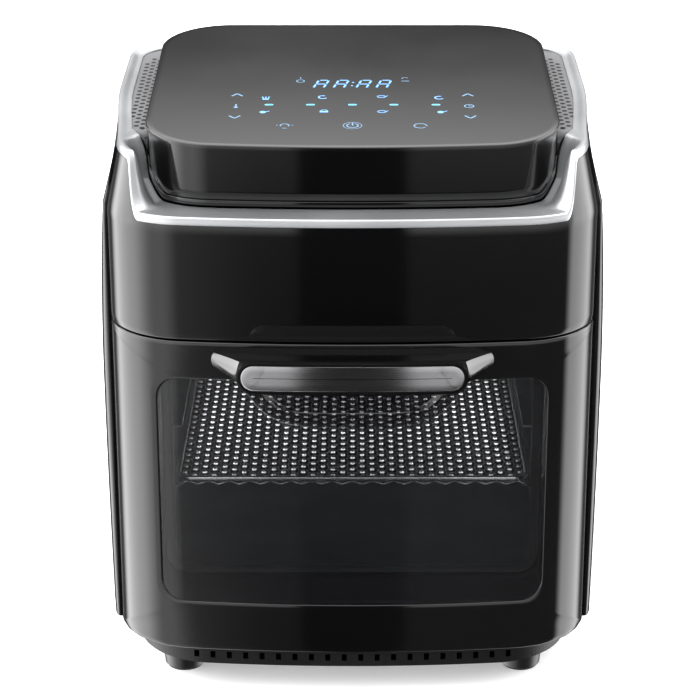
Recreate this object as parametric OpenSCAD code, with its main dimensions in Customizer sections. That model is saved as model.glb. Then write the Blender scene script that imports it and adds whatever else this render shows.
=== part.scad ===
/* [Body] */
// Width over the side covers at their widest
body_w = 314; // [300:1:330]
// Depth from the crown of the door to the rear wall
body_d = 311; // [300:1:330]
// Half-width of the front shell and the door
front_hw = 150; // [145:1:152]
// Radius of the bowed front
bow_r = 900; // [600:10:1200]
// Radius of the front corners
corner_r = 52; // [40:1:60]
// Thickness of the moulded shells
wall = 2.5; // [2:0.1:3]

/* [Base and feet] */
// Height of the underside of the base above the table
base_z = 19.7; // [16:0.1:22]
// Number of air slots in the front skirt
slot_count = 20; // [10:1:20]
// Distance between air slots
slot_pitch = 10.4; // [8:0.1:10.4]
// Sideways distance of a foot from the middle
foot_x = 109; // [90:1:112]

/* [Top] */
// Height of the front lip of the silver bezel
lip_z = 315; // [310:1:318]
// Height of the bezel rim above the front corners
rim_z = 349; // [345:1:351]
// Slope of the bezel rim in degrees
rim_tilt = 4; // [3:0.5:5]
// Height of the control panel at its front edge
panel_z = 353.5; // [352:0.5:356]
// Slope of the control panel in degrees
panel_tilt = 6.25; // [5.5:0.25:7]
// Half-width of the control panel
panel_hw = 126; // [120:1:128]

/* [Door] */
// Underside of the door
door_z0 = 31; // [31:0.5:33]
// Top of the door
door_z1 = 237.6; // [236:0.2:238]
// Half-width of the window
window_hw = 119; // [110:1:120]
// Underside of the window
window_z0 = 64.5; // [62:0.5:68]
// Top of the window
window_z1 = 213.5; // [205:0.5:215]

/* [Oven] */
// Half-width of the cavity
cavity_hw = 130; // [125:1:130]
// Floor of the cavity
cavity_z0 = 50; // [49:0.5:52]
// Ceiling of the cavity
cavity_z1 = 226; // [224:0.5:228]
// Height of the rack's sheet
rack_z = 125; // [120:1:130]

/* [Hidden] */

$fn = 48;
gap = 0.3;
cut = 1;
front_y = -143;
rear_y = front_y + body_d;
seam_y = -91;
sheet = 1.2;

// Plan outlines: half-width, front, bow radius, corner radius, rear, rear corner radius
rear_r = 32;
shell_plan = [front_hw, front_y, bow_r, corner_r, 116, rear_r];
scoop_plan = [141.5, -123.4, bow_r, 57, 109.5, 24];
panel_plan = [panel_hw, -122, bow_r, 45, 107, 45];
deck_inner_plan = [108, -96, bow_r, 30, 92, 30];
base_plan = [138, -139, bow_r, corner_r, 150, 30];

// An outline set in evenly by d
function inset(o, d) = [o[0] - d, o[1] + d, o[2] - d, o[3] - d, o[4] - d, o[5] - d];

// Point of a half outline: 0 to 1 bow, 1 to 2 corner, 2 to 3 side, 3 to 4 rear corner, 4 to 5 rear
function plan_point(o, t) =
    let (cx = o[0] - o[3])
    let (bow = asin(cx / (o[2] - o[3])))
    let (corner_y = o[1] + o[2] - (o[2] - o[3]) * cos(bow))
    let (turn = (90 - bow) * (min(max(t, 1), 2) - 2))
    let (back = 90 * (min(max(t, 3), 4) - 3))
    t <= 1 ? [o[2] * sin(bow * t), o[1] + o[2] - o[2] * cos(bow * t)]
    : t <= 2 ? [cx + o[3] * cos(turn), corner_y + o[3] * sin(turn)]
    : t <= 3 ? [o[0], corner_y + (o[4] - o[5] - corner_y) * (t - 2)]
    : t <= 4 ? [o[0] - o[5] + o[5] * cos(back), o[4] - o[5] + o[5] * sin(back)]
    : [(o[0] - o[5]) * (5 - t), o[4]];

BOW_STEPS = 6;
CORNER_STEPS = 24;
SIDE_STEPS = 5;
REAR_STEPS = 6;
SEAM_T = 1.93;
stations = concat(
    [for (i = [0:BOW_STEPS - 1]) i / BOW_STEPS],
    [for (i = [0:CORNER_STEPS - 1]) 1 + i / CORNER_STEPS],
    [for (i = [0:SIDE_STEPS - 1]) 2 + i / SIDE_STEPS],
    [for (i = [0:REAR_STEPS]) 3 + i / REAR_STEPS]
);
ring_stations = concat([5], [for (i = [len(stations) - 1:-1:1]) -stations[i]], stations);
// The door and the front shell end just ahead of the side covers
front_stations = [for (t = stations) if (t < SEAM_T) t];
front_span = concat([for (i = [len(front_stations) - 1:-1:1]) -front_stations[i]], front_stations);

// Stations below zero lie on the left half
function ring_point(o, t) =
    let (p = plan_point(o, abs(t)))
    t < 0 ? [-p[0], p[1]] : p;
function ring(o) = [for (t = ring_stations) ring_point(o, t)];
function front_line(o) = [for (t = front_span) ring_point(o, t)];
function ease(u) =
    let (v = min(max(u, 0), 1))
    v * v * (3 - 2 * v);
function at(p, z) = [p[0], p[1], z];

// Heights of the top surfaces
function rim_height(y) = rim_z + (y + 110) * tan(rim_tilt);
function panel_height(y) = panel_z + (y - panel_plan[1]) * tan(panel_tilt);
// How far the top of the front corners leans in, at a depth and a height
LEAN = 8.5;
function lean(y, z) =
    LEAN * (1 - ease((y + 110) / 130)) * min(max((z - 309) / 40, 0), 1);
function lip_height(t, y) = lip_z + (rim_height(y) - lip_z) * ease((abs(t) - 1.34) / 0.25);
// Inner edge of the bezel: low along the panel's front, then up to the vent shelf
SCOOP_RISE = 11;
function scoop_height(t, y) =
    let (shelf = rim_height(y) - 2.1 - lip_z - SCOOP_RISE)
    lip_z + 0.6 + SCOOP_RISE * ease((abs(t) - 1.46) / 0.34) + (shelf - 0.6) * ease((abs(t) - 1.74) / 0.17);
function scoop_point(t) =
    let (shelf = ring_point(scoop_plan, t))
    let (leaned = ring_point(inset(scoop_plan, lean(shelf[1], rim_z)), t))
    let (wall_point = ring_point(inset(panel_plan, -2 * gap), t))
    wall_point + (leaned - wall_point) * ease((abs(t) - 1.8) / 0.2);
band_h = 4.8;
shoulder_y = 116;
shoulder_z = 330;
function shoulder_height(y) =
    let (u = min(max((y - shoulder_y) / (rear_y - shoulder_y), 0), 1))
    shoulder_z + (rim_height(shoulder_y) - band_h - shoulder_z) * sqrt(1 - u * u);

// Half-width of a side cover, which swells gently at mid-height
SWELL_Z = 200;
function cover_hw(z) =
    body_w / 2 - 7 * pow(max(z - SWELL_Z, 0) / 150, 2) - 1.8 * pow(max(SWELL_Z - z, 0) / 170, 2);

// Solid between an outer and an inner grid of points
module shell_grid(a, b, closed = false) {
    m = len(a);
    n = len(a[0]);
    last = closed ? n - 1 : n - 2;
    points = concat([for (r = a) for (p = r) p], [for (r = b) for (p = r) p]);
    function id(s, i, j) = s * m * n + i * n + (j % n);
    faces = concat(
        [for (i = [0:m - 2]) for (j = [0:last]) [id(0, i, j), id(0, i + 1, j), id(0, i + 1, j + 1)]],
        [for (i = [0:m - 2]) for (j = [0:last]) [id(0, i, j), id(0, i + 1, j + 1), id(0, i, j + 1)]],
        [for (i = [0:m - 2]) for (j = [0:last]) [id(1, i, j), id(1, i + 1, j + 1), id(1, i + 1, j)]],
        [for (i = [0:m - 2]) for (j = [0:last]) [id(1, i, j), id(1, i, j + 1), id(1, i + 1, j + 1)]],
        [for (j = [0:last]) [id(0, 0, j), id(0, 0, j + 1), id(1, 0, j + 1)]],
        [for (j = [0:last]) [id(0, 0, j), id(1, 0, j + 1), id(1, 0, j)]],
        [for (j = [0:last]) [id(0, m - 1, j), id(1, m - 1, j + 1), id(0, m - 1, j + 1)]],
        [for (j = [0:last]) [id(0, m - 1, j), id(1, m - 1, j), id(1, m - 1, j + 1)]],
        closed ? [] : [for (i = [0:m - 2]) [id(0, i, 0), id(1, i, 0), id(1, i + 1, 0)]],
        closed ? [] : [for (i = [0:m - 2]) [id(0, i, 0), id(1, i + 1, 0), id(0, i + 1, 0)]],
        closed ? [] : [for (i = [0:m - 2]) [id(0, i, n - 1), id(1, i + 1, n - 1), id(1, i, n - 1)]],
        closed ? [] : [for (i = [0:m - 2]) [id(0, i, n - 1), id(0, i + 1, n - 1), id(1, i + 1, n - 1)]]
    );
    polyhedron(points = points, faces = faces, convexity = 8);
}

// Box between two corners
module box(low, high) {
    translate(low) cube(high - low);
}
// Cylinder along Y between two depths
module rod_y(x, z, y0, y1, r) {
    translate([x, y0, z]) rotate([-90, 0, 0]) cylinder(r = r, h = y1 - y0);
}
// Cylinder along X between two sides
module rod_x(x0, x1, y, z, r) {
    translate([x0, y, z]) rotate([0, 90, 0]) cylinder(r = r, h = x1 - x0);
}
// Plate with round corners in the XZ plane, from y0 to y1
module plate_y(hw, z0, z1, y0, y1, r) {
    translate([0, y1, 0]) rotate([90, 0, 0]) linear_extrude(height = y1 - y0) {
        for (s = [-1, 1]) {
            translate([s * (hw - r), z0 + r]) circle(r = r);
            translate([s * (hw - r), z1 - r]) circle(r = r);
        }
        translate([-hw + r, z0]) square([2 * (hw - r), z1 - z0]);
        translate([-hw, z0 + r]) square([2 * hw, z1 - z0 - 2 * r]);
    }
}
// Upright prism on a plan outline
module plan_prism(o, z0, z1) {
    translate([0, 0, z0]) linear_extrude(height = z1 - z0) polygon(ring(o));
}
module mirrored_pair() {
    children();
    mirror([1, 0, 0]) children();
}

// ---- Base ----
FLOOR_T = 2;
skirt_top = 29.3;
flange_top = 31;
hinge_y = -118;
hinge_z = 26.5;
pin_r = 2.5;
arm_x = 100;
arm_t = 6;
ear_t = 5;
pan_plan = [149, front_y, bow_r, corner_r, 164, 30];
module base_pan() {
    slot_w = 3.2;
    slot_h = 4.6;
    slot_z = 23.5;
    slot_deep = 12;
    post = 10;
    color("#101012") difference() {
        union() {
            difference() {
                plan_prism(base_plan, base_z, skirt_top);
                plan_prism(inset(base_plan, FLOOR_T), base_z + FLOOR_T, skirt_top + cut);
                for (i = [0:slot_count - 1])
                    translate([(i - (slot_count - 1) / 2) * slot_pitch, base_plan[1] - cut, slot_z])
                        translate([-slot_w / 2, 0, 0]) cube([slot_w, slot_deep, slot_h]);
            }
            difference() {
                intersection() {
                    plan_prism(pan_plan, skirt_top, flange_top);
                    box([-160, seam_y + 2, 0], [160, 170, 60]);
                }
                plan_prism(inset(base_plan, FLOOR_T), base_z, flange_top + cut);
            }
            for (x = [-110, 100], y = [-60, 100])
                box([x, y, base_z + FLOOR_T / 2], [x + post, y + post, cavity_z0 - sheet]);
            for (s = [-1, 1], x = [arm_x - ear_t - 0.5, arm_x + arm_t + 0.5])
                hinge_ear(s > 0 ? x : -x - ear_t);
        }
        for (s = [-1, 1])
            rod_x(s > 0 ? 90 : -116, s > 0 ? 116 : -90, hinge_y, hinge_z, pin_r);
    }
}
module hinge_ear(x) {
    rod_x(x, x + ear_t, hinge_y, hinge_z, 4.2);
    box([x, hinge_y - 4.2, base_z + FLOOR_T / 2], [x + ear_t, hinge_y + 4.2, hinge_z]);
}
module hinge_pins() {
    color("silver") for (s = [-1, 1])
        rod_x(s > 0 ? arm_x - ear_t - 0.5 : -arm_x - arm_t - 0.5 - ear_t,
              s > 0 ? arm_x + arm_t + 0.5 + ear_t : -arm_x + ear_t + 0.5,
              hinge_y, hinge_z, pin_r);
}
FOOT_Y = [-96, 118];
PAD_H = 2;
module foot(x, y) {
    color("#0c0c0e") translate([x, y, PAD_H]) difference() {
        cylinder(r1 = 13, r2 = 15, h = base_z - PAD_H);
        translate([0, 0, -cut]) cylinder(r = 9, h = cut + 1.5);
    }
}
module foot_pads() {
    color("#202022") for (x = [-foot_x, foot_x], y = FOOT_Y)
        translate([x, y, 0]) union() {
            cylinder(r = 11.5, h = PAD_H);
            cylinder(r = 8.8, h = PAD_H + 1.4);
        }
}

// ---- Covers ----
COVER_ROWS = 8;
cover_z0 = flange_top;
// Half-width at which the side covers meet the rear cover
cover_return = 116;
SHOULDER_ROWS = 5;
function cover_plan(z, back, d) =
    let (hw = cover_hw(z) - d)
    let (flare0 = front_hw + 1.2 - d)
    concat(
        [for (k = [0:3]) [flare0 + (hw - flare0) * sin(k * 30), seam_y + 14 * (1 - cos(k * 30))]],
        [for (k = [1:6]) [hw, seam_y + 14 + (back - rear_r - seam_y - 14) * k / 6]],
        [for (k = [1:8]) [hw - rear_r + d + (rear_r - d) * cos(k * 11.25),
                          back - rear_r + (rear_r - d) * sin(k * 11.25)]],
        [[cover_return, back - d]]
    );
function cover_row(z_share, turn, d) =
    let (back = shoulder_y + (rear_y - shoulder_y) * cos(turn))
    let (rim_line = cover_plan(rim_z, shoulder_y, 0))
    [for (j = [0:len(rim_line) - 1])
        let (top = rim_height(rim_line[j][1]) - band_h)
        let (z = turn > 0 ? shoulder_z + (top - shoulder_z) * sin(turn)
                          : cover_z0 + (shoulder_z - cover_z0) * z_share)
        let (p = cover_plan(z, back, d)[j])
        at([p[0] - lean(p[1], z), p[1]], z)];
function cover_grid(d) = concat(
    [for (i = [0:COVER_ROWS]) cover_row(i / COVER_ROWS, 0, d)],
    [for (i = [1:SHOULDER_ROWS]) cover_row(1, 90 * i / SHOULDER_ROWS, d)]
);
module right_side_cover() {
    color("#0b0b0d") shell_grid(cover_grid(0), cover_grid(wall));
}
module left_side_cover() {
    mirror([1, 0, 0]) right_side_cover();
}
COVER_SCREWS = [for (x = [-112, 0, 112], z = [42, 318]) [x, z]];
gland_x = -100;
gland_z = 52;
gland_r = 7.5;
rear_hw = cover_return - gap;
module rear_cover() {
    color("#0d0d0f") difference() {
        union() {
            box([-rear_hw, rear_y - wall, flange_top], [rear_hw, rear_y, shoulder_z - 0.5]);
            rear_shoulder();
            for (s = [-1, 1])
                box([s * 84 - 5, rear_y - wall / 2, 110], [s * 84 + 5, -handle_front, 290]);
            for (x = [-44, 56], z = [74, 134])
                rod_y(x, z, board_y, rear_y - wall / 2, 3.5);
        }
        for (row = [0:2], i = [-9:9])
            box([i * 7 - 1.6, rear_y - 10, 200 + row * 30], [i * 7 + 1.6, rear_y + cut, 222 + row * 30]);
        for (s = COVER_SCREWS)
            rod_y(s[0], s[1], rear_y - 10, rear_y + cut, 2);
        rod_y(gland_x, gland_z, rear_y - 10, rear_y + cut, gland_r);
    }
}
SHOULDER_STEPS = 10;
// Curved top of the rear cover, from the bezel down to the rear wall
module rear_shoulder() {
    depth = rear_y - shoulder_y;
    outer = [for (i = [0:SHOULDER_STEPS])
        let (y = shoulder_y + depth * sin(90 * i / SHOULDER_STEPS))
        [y, shoulder_height(y)]];
    inner = [for (i = [SHOULDER_STEPS:-1:0])
        let (y = shoulder_y + depth * sin(90 * i / SHOULDER_STEPS))
        [y - wall * sin(90 * i / SHOULDER_STEPS), shoulder_height(y) - wall]];
    rotate([90, 0, 90]) translate([0, 0, -rear_hw]) linear_extrude(height = 2 * rear_hw)
        polygon(concat(outer, inner));
}
module cover_screws() {
    color("silver") for (s = COVER_SCREWS) {
        rod_y(s[0], s[1], rear_y - 12, rear_y, 2);
        rod_y(s[0], s[1], rear_y, rear_y + 2, 4);
    }
}
module cord_gland() {
    color("#151517") difference() {
        union() {
            rod_y(gland_x, gland_z, rear_y - 3, rear_y, gland_r);
            rod_y(gland_x, gland_z, rear_y, rear_y + 2.5, gland_r + 2.5);
            rod_y(gland_x, gland_z, rear_y + 2.5, -handle_front, gland_r - 1.5);
        }
        rod_y(gland_x, gland_z, rear_y - 10, rear_y + 20, 3.6);
    }
}
shell_z0 = 238.6;
SHELL_ROWS = 4;
module front_upper_shell() {
    function row(share, d) = [for (t = front_span)
        let (p = ring_point(shell_plan, t))
        let (top = lip_height(t, p[1]) - band_h)
        let (z = shell_z0 + (top - shell_z0) * share)
        at(ring_point(inset(shell_plan, d + lean(p[1], z)), t), z)];
    shares = [0, 0.6, for (i = [1:SHELL_ROWS]) 0.6 + 0.4 * i / SHELL_ROWS];
    color("#08080a") union() {
        shell_grid([for (f = shares) row(f, 0)], [for (f = shares) row(f, wall)]);
        intersection() {
            plan_prism(inset(shell_plan, wall / 2), shell_z0, shell_z0 + 2);
            box([-160, -160, 200], [160, seam_y - gap, 260]);
        }
    }
}

// ---- Top ----
BEZEL_T = 2;
// Share of the fall across the bezel, which is steep next to its edge and flat at the panel
function cheek(f) = ease((f - 0.12) / 0.62);
module top_bezel() {
    shares = [0, 0.12, 0.27, 0.42, 0.58, 0.74, 1];
    function edge(t) = lip_height(t, plan_point(shell_plan, abs(t))[1]);
    function side(t, drop, d) =
        let (p = ring_point(shell_plan, t))
        at(ring_point(inset(shell_plan, d + lean(p[1], edge(t) - drop)), t), edge(t) - drop);
    function across(t, f, lower) =
        let (a = side(t, 0, 0.8))
        let (b = scoop_point(t))
        let (q = scoop_height(t, b[1]))
        at([a[0], a[1]] + (b - [a[0], a[1]]) * f, a[2] + (q - a[2]) * cheek(f) - lower);
    outer = concat(
        [for (drop = [band_h, 0.8]) [for (t = ring_stations) side(t, drop, 0)]],
        [for (f = shares) [for (t = ring_stations) across(t, f, 0)]]
    );
    inner = concat(
        [for (drop = [band_h, BEZEL_T + 0.8]) [for (t = ring_stations) side(t, drop, BEZEL_T)]],
        [for (f = shares) [for (t = ring_stations) across(t, max(f, 0.15), BEZEL_T)]]
    );
    color("silver") shell_grid(outer, inner, true);
}
DECK_T = 2;
GRILLE_X = [127, 136.3];
GRILLE_Y = [-40, 84];
GRILLE_LEDGE = 2;
module vent_deck() {
    inner = ring(deck_inner_plan);
    count = len(inner) - 1;
    outer = [for (t = ring_stations) scoop_point(t) * 0.995];
    function deck(i) = scoop_height(ring_stations[i], outer[i][1]) - BEZEL_T - 1;
    color("#141416") difference() {
        shell_grid(
            [for (low = [DECK_T, 0]) [for (i = [0:count]) at(outer[i], deck(i) - low)]],
            [for (low = [DECK_T, 0]) [for (i = [0:count]) at(inner[i], deck(i) - low)]],
            true
        );
        mirrored_pair()
            box(
                [GRILLE_X[0] + GRILLE_LEDGE, GRILLE_Y[0] + GRILLE_LEDGE, 330],
                [GRILLE_X[1] - GRILLE_LEDGE, GRILLE_Y[1] - GRILLE_LEDGE, 380]
            );
    }
}
module right_vent_grille() {
    hole_pitch = 4.6;
    plate_t = 1.2;
    rows = 25;
    column_x = [2.6, 6.7];
    hole_r = 1.3;
    z0 = rim_height(GRILLE_Y[0]) - 3.9;
    color("#6a6b6e") translate([GRILLE_X[0], GRILLE_Y[0], z0]) rotate([rim_tilt, 0, 0]) difference() {
        cube([GRILLE_X[1] - GRILLE_X[0], GRILLE_Y[1] - GRILLE_Y[0], plate_t]);
        for (r = [0:rows - 1], c = [0:1])
            translate([column_x[c], 5 + (r + c / 2) * hole_pitch, -cut])
                cylinder(r = hole_r, h = plate_t + 2 * cut, $fn = 16);
    }
}
module left_vent_grille() {
    mirror([1, 0, 0]) right_vent_grille();
}
GLASS_T = 2.4;
module panel_housing() {
    function low(t) = scoop_height(t, ring_point(panel_plan, t)[1]) + 1;
    function high(y) = panel_height(y) - GLASS_T / cos(panel_tilt);
    function rows(o) = [
        [for (t = ring_stations) at(ring_point(o, t), low(t))],
        [for (t = ring_stations) at(ring_point(o, t), high(ring_point(o, t)[1]))]
    ];
    color("#09090b") shell_grid(rows(panel_plan), rows(inset(panel_plan, wall)), true);
}
// Plate on a plan outline that lies under the sloping panel
module sloped_plate(o, depth, thick) {
    intersection() {
        plan_prism(o, 300, 400);
        translate([0, o[1] - 20, panel_height(o[1] - 20) - depth - thick / cos(panel_tilt)])
            rotate([panel_tilt, 0, 0]) translate([-150, 0, 0]) cube([300, 300, thick]);
    }
}
module panel_glass() {
    color("#1c1c1f") sloped_plate(panel_plan, 0, GLASS_T);
}
harness_x = 40;
module panel_floor() {
    color("#101012") difference() {
        sloped_plate(inset(deck_inner_plan, 1), 13, 1.8);
        translate([harness_x, 82, 330]) cylinder(r = 6, h = 60);
    }
}
BOARD_DEPTH = 8;
module control_board() {
    color("darkgreen") difference() {
        sloped_plate([104, -86, bow_r, 14, 70, 14], BOARD_DEPTH, 1.6);
        for (x = [-96, 96], y = [-66, 60])
            translate([x, y, 330]) cylinder(r = 1.7, h = 60);
    }
}
DISPLAY_Y = -20;
// Places a piece on the upper face of the control board
module on_board(x, y) {
    translate([x, y, panel_height(y) - BOARD_DEPTH]) rotate([panel_tilt, 0, 0]) children();
}
module display_module() {
    color("#202024") on_board(-30, DISPLAY_Y) cube([60, 18, 5]);
}
TOUCH_KEYS = [
    [-80, 6], [-80, -30], [80, 6], [80, -30], [-56, 2], [-56, -24], [-20, -48], [56, 2], [56, -24],
    [20, -48], [0, -74], [-44, -74], [44, -74]
];
module touch_springs() {
    color("silver") for (k = TOUCH_KEYS)
        on_board(k[0], k[1]) difference() {
            cylinder(r = 3, h = 5.2, $fn = 24);
            translate([0, 0, -cut]) cylinder(r = 2.2, h = 8, $fn = 24);
        }
}

// ---- Oven ----
cavity_front = -88.5;
cavity_back = 130;
fan_y = 21;
fan_hole_r = 86;
lamp_y = 60;
lamp_z = 190;
probe_x = 90;
probe_z = 212;
spit_z = 143;
module oven_cavity() {
    color("#8d8f92") difference() {
        box([-cavity_hw - sheet, cavity_front, cavity_z0 - sheet],
            [cavity_hw + sheet, cavity_back + sheet, cavity_z1 + sheet]);
        box([-cavity_hw, cavity_front - cut, cavity_z0], [cavity_hw, cavity_back, cavity_z1]);
        translate([0, fan_y, cavity_z1 - cut]) cylinder(r = fan_hole_r, h = 4, $fn = 96);
        rod_x(cavity_hw - cut, cavity_hw + 4, lamp_y, lamp_z, 16);
        rod_x(-cavity_hw - 4, -cavity_hw + cut, fan_y, spit_z, 6);
        rod_y(probe_x, probe_z, cavity_back - cut, cavity_back + 4, 2.5);
    }
}
frame_z1 = 237;
module cavity_front_frame() {
    color("#1b1b1d") difference() {
        plate_y(147.5, flange_top + 0.5, frame_z1, -90.5, cavity_front, 4);
        box([-cavity_hw, -95, cavity_z0], [cavity_hw, -80, cavity_z1]);
        rod_y(switch_x, magnet_z, -95, -80, 1.9);
    }
}
module door_gasket() {
    color("#2a2a2c") difference() {
        plate_y(137, cavity_z0 - 6, cavity_z1 + 2, -92, -90.5, 7);
        plate_y(132.5, cavity_z0 - 1.5, cavity_z1 - 2.5, -93, -89.5, 4);
    }
}
element_z = 240;
TUBE_R = 3.2;
ELEMENT_RINGS = [66, 77];
chamber_z1 = 264;
chamber_r = 92;
module heating_element() {
    color("#4a4644") translate([0, fan_y, element_z]) union() {
        for (r = ELEMENT_RINGS)
            rotate_extrude($fn = 96) translate([r, 0]) circle(r = TUBE_R, $fn = 24);
        rod_y(0, 0, ELEMENT_RINGS[0], ELEMENT_RINGS[1], TUBE_R);
        for (x = [-13, 13])
            translate([x, sqrt(pow(ELEMENT_RINGS[1], 2) - x * x), 0]) cylinder(r = TUBE_R, h = 36);
    }
}
module element_brackets() {
    bracket_t = 2;
    color("silver") difference() {
        for (a = [30, 150, 270])
            translate([0, fan_y, 0]) rotate([0, 0, a])
                box([60, -bracket_t / 2, element_z - 6], [84, bracket_t / 2, chamber_z1 - sheet]);
        translate([0, fan_y, element_z]) for (r = ELEMENT_RINGS)
            rotate_extrude($fn = 96) translate([r, 0]) circle(r = TUBE_R, $fn = 24);
    }
}
module fan_guard() {
    color("#9a9c9f") translate([0, fan_y, cavity_z1 - 1.4]) difference() {
        cylinder(r = 94, h = sheet, $fn = 96);
        for (ringn = [0:3], i = [0:11 + 6 * ringn])
            rotate([0, 0, i * 360 / (12 + 6 * ringn)]) translate([22 + 18 * ringn, 0, -cut])
                cylinder(r = 3.6, h = 4, $fn = 16);
    }
}
module fan_chamber() {
    color("#9a9c9f") translate([0, fan_y, 0]) difference() {
        translate([0, 0, cavity_z1 + sheet])
            cylinder(r = chamber_r, h = chamber_z1 - cavity_z1 - sheet, $fn = 96);
        translate([0, 0, cavity_z1])
            cylinder(r = chamber_r - sheet, h = chamber_z1 - cavity_z1 - sheet, $fn = 96);
        translate([0, 0, chamber_z1 - 4]) cylinder(r = 6, h = 8);
        for (x = [-13, 13])
            translate([x, sqrt(pow(ELEMENT_RINGS[1], 2) - x * x), chamber_z1 - 4])
                cylinder(r = TUBE_R, h = 8);
    }
}
SHAFT_R = 3;
SHAFT_FIT = 0.05;
motor_z = 294;
motor_h = 36;
module fan_motor() {
    color("#77797c") translate([0, fan_y, 0]) difference() {
        union() {
            translate([0, 0, motor_z]) cylinder(r = 30, h = motor_h);
            translate([0, 0, motor_z - 2]) cylinder(r = 9, h = 2);
            box([-14, -38, motor_z + 8], [14, -20, motor_z + 28]);
        }
        translate([0, 0, motor_z - 4]) cylinder(r = SHAFT_R + SHAFT_FIT, h = motor_h + 8);
    }
}
module motor_bracket() {
    leg_x = 97;
    plate_t = 2;
    color("silver") difference() {
        union() {
            box([-leg_x - plate_t, fan_y - 15, motor_z - plate_t], [leg_x + plate_t, fan_y + 15, motor_z]);
            for (s = [-1, 1])
                box([s * leg_x + (s > 0 ? 0 : -plate_t), fan_y - 15, cavity_z1 + sheet],
                    [s * leg_x + (s > 0 ? plate_t : 0), fan_y + 15, motor_z - plate_t / 2]);
        }
        translate([0, fan_y, motor_z - 8]) cylinder(r = 9, h = 16);
    }
}
module motor_shaft() {
    color("silver") translate([0, fan_y, 241]) cylinder(r = SHAFT_R, h = motor_z + motor_h - 2 - 241);
}
// Impeller with a hub, a disc and upright blades
module impeller(z, r, h, blades) {
    disc_t = 1.5;
    blade_t = 1.2;
    translate([0, fan_y, z]) difference() {
        union() {
            cylinder(r = 9, h = h);
            translate([0, 0, h - disc_t]) cylinder(r = r - 8, h = disc_t, $fn = 72);
            for (i = [0:blades - 1])
                rotate([0, 0, i * 360 / blades])
                    translate([7, -blade_t / 2, 0.4]) cube([r - 7, blade_t, h - 1]);
        }
        translate([0, 0, -cut]) cylinder(r = SHAFT_R, h = h + 2 * cut);
    }
}
module hot_air_impeller() {
    color("#b0b2b5") impeller(246, 58, 12, 14);
}
module cooling_impeller() {
    color("#3a3a3d") impeller(270, 62, 16, 12);
}
module temperature_sensors() {
    color("silver") {
        rod_y(probe_x, probe_z, cavity_back - 14, cavity_back + sheet, 2.5);
        rod_y(probe_x, probe_z, cavity_back + sheet, cavity_back + 4, 5);
        rod_y(60, 160, cavity_back + sheet, cavity_back + 9, 9);
    }
}
module lamp_housing() {
    x0 = cavity_hw + sheet;
    color("#8d8f92") difference() {
        rod_x(x0, x0 + 17, lamp_y, lamp_z, 20);
        rod_x(x0 - cut, x0 + 15.5, lamp_y, lamp_z, 18);
    }
}
module lamp_lens() {
    color("white", 0.5) rod_x(cavity_hw - 1.5, cavity_hw + sheet, lamp_y, lamp_z, 16);
}
module oven_lamp() {
    x0 = cavity_hw + sheet;
    color("lightyellow") union() {
        rod_x(x0 + 9, x0 + 15.5, lamp_y, lamp_z, 5);
        rod_x(x0 + 2, x0 + 9.5, lamp_y, lamp_z, 7);
    }
}
rail_y = [-80, 122];
module right_rack_rail() {
    color("silver") union() {
        for (z = [rack_z - 7, rack_z + 34])
            box([108.5, rail_y[0], z], [cavity_hw, rail_y[1], z + 1.5]);
        for (y = [-60, 96])
            box([cavity_hw - 1.5, y, rack_z - 40], [cavity_hw, y + 10, rack_z + 50]);
    }
}
module left_rack_rail() {
    mirror([1, 0, 0]) right_rack_rail();
}
RACK_HW = 112;
rack_front = -82;
rack_back = 112;
module mesh_rack() {
    wire = 2;
    pitch = 15.6;
    color("#a8aaad") union() {
        difference() {
            box([-RACK_HW, rack_front, rack_z], [RACK_HW, rack_back, rack_z + 1]);
            for (c = [-6:6], r = [0:10])
                translate([c * pitch, rack_front + 12 + (r + (abs(c) % 2) / 2) * pitch, rack_z - cut])
                    cylinder(r = 4.2, h = 4, $fn = 6);
        }
        for (y = [rack_front, rack_back])
            rod_x(-RACK_HW, RACK_HW, y, rack_z, wire);
        for (x = [-RACK_HW, RACK_HW])
            rod_y(x, rack_z, rack_front, rack_back, wire);
        for (x = [-RACK_HW, RACK_HW], y = [rack_front, rack_back])
            translate([x, y, rack_z]) sphere(r = wire);
        for (x = [-RACK_HW + 1.5, RACK_HW - 1.5], y = [-62, 90])
            translate([x, y, rack_z - 5.5]) cylinder(r = 1.5, h = 5.5);
    }
}
module drip_tray() {
    color("#77797c") difference() {
        box([-126, -84, cavity_z0 + 0.1], [126, 124, cavity_z0 + 9]);
        box([-125, -83, cavity_z0 + 1.1], [125, 123, cavity_z0 + 20]);
    }
}
module rotisserie_motor() {
    x1 = -cavity_hw - sheet;
    color("#77797c") difference() {
        rod_x(x1 - 19, x1, fan_y, spit_z, 24);
        rod_x(x1 - 14, x1 + cut, fan_y, spit_z, 4 + SHAFT_FIT);
        rod_x(x1 - 4, x1 + cut, fan_y, spit_z, 6);
    }
}
module rotisserie_spindle() {
    color("silver") difference() {
        union() {
            rod_x(-cavity_hw - sheet - 13.8, -cavity_hw + 1, fan_y, spit_z, 4);
            rod_x(-cavity_hw + 1, -cavity_hw + 10, fan_y, spit_z, 6);
        }
        box([-cavity_hw + 4, fan_y - 2.5, spit_z - 2.5], [-cavity_hw + 11, fan_y + 2.5, spit_z + 2.5]);
    }
}
magnet_z = 231.8;
switch_x = 100;
module door_magnets() {
    color("#3a3a3d") for (s = [-1, 1])
        box([s * 60 - 9, cavity_front, magnet_z - 4], [s * 60 + 9, cavity_front + 6, magnet_z + 4]);
}
module door_switch() {
    color("#2c2c30") difference() {
        box([switch_x - 5, cavity_front, magnet_z - 4.4], [switch_x + 5, cavity_front + 20, magnet_z + 6]);
        rod_y(switch_x, magnet_z, cavity_front - cut, cavity_front + 8, 1.55);
    }
}
module switch_plunger() {
    color("#c03028") rod_y(switch_x, magnet_z, -92.1, cavity_front + 5.5, 1.5);
}

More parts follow.
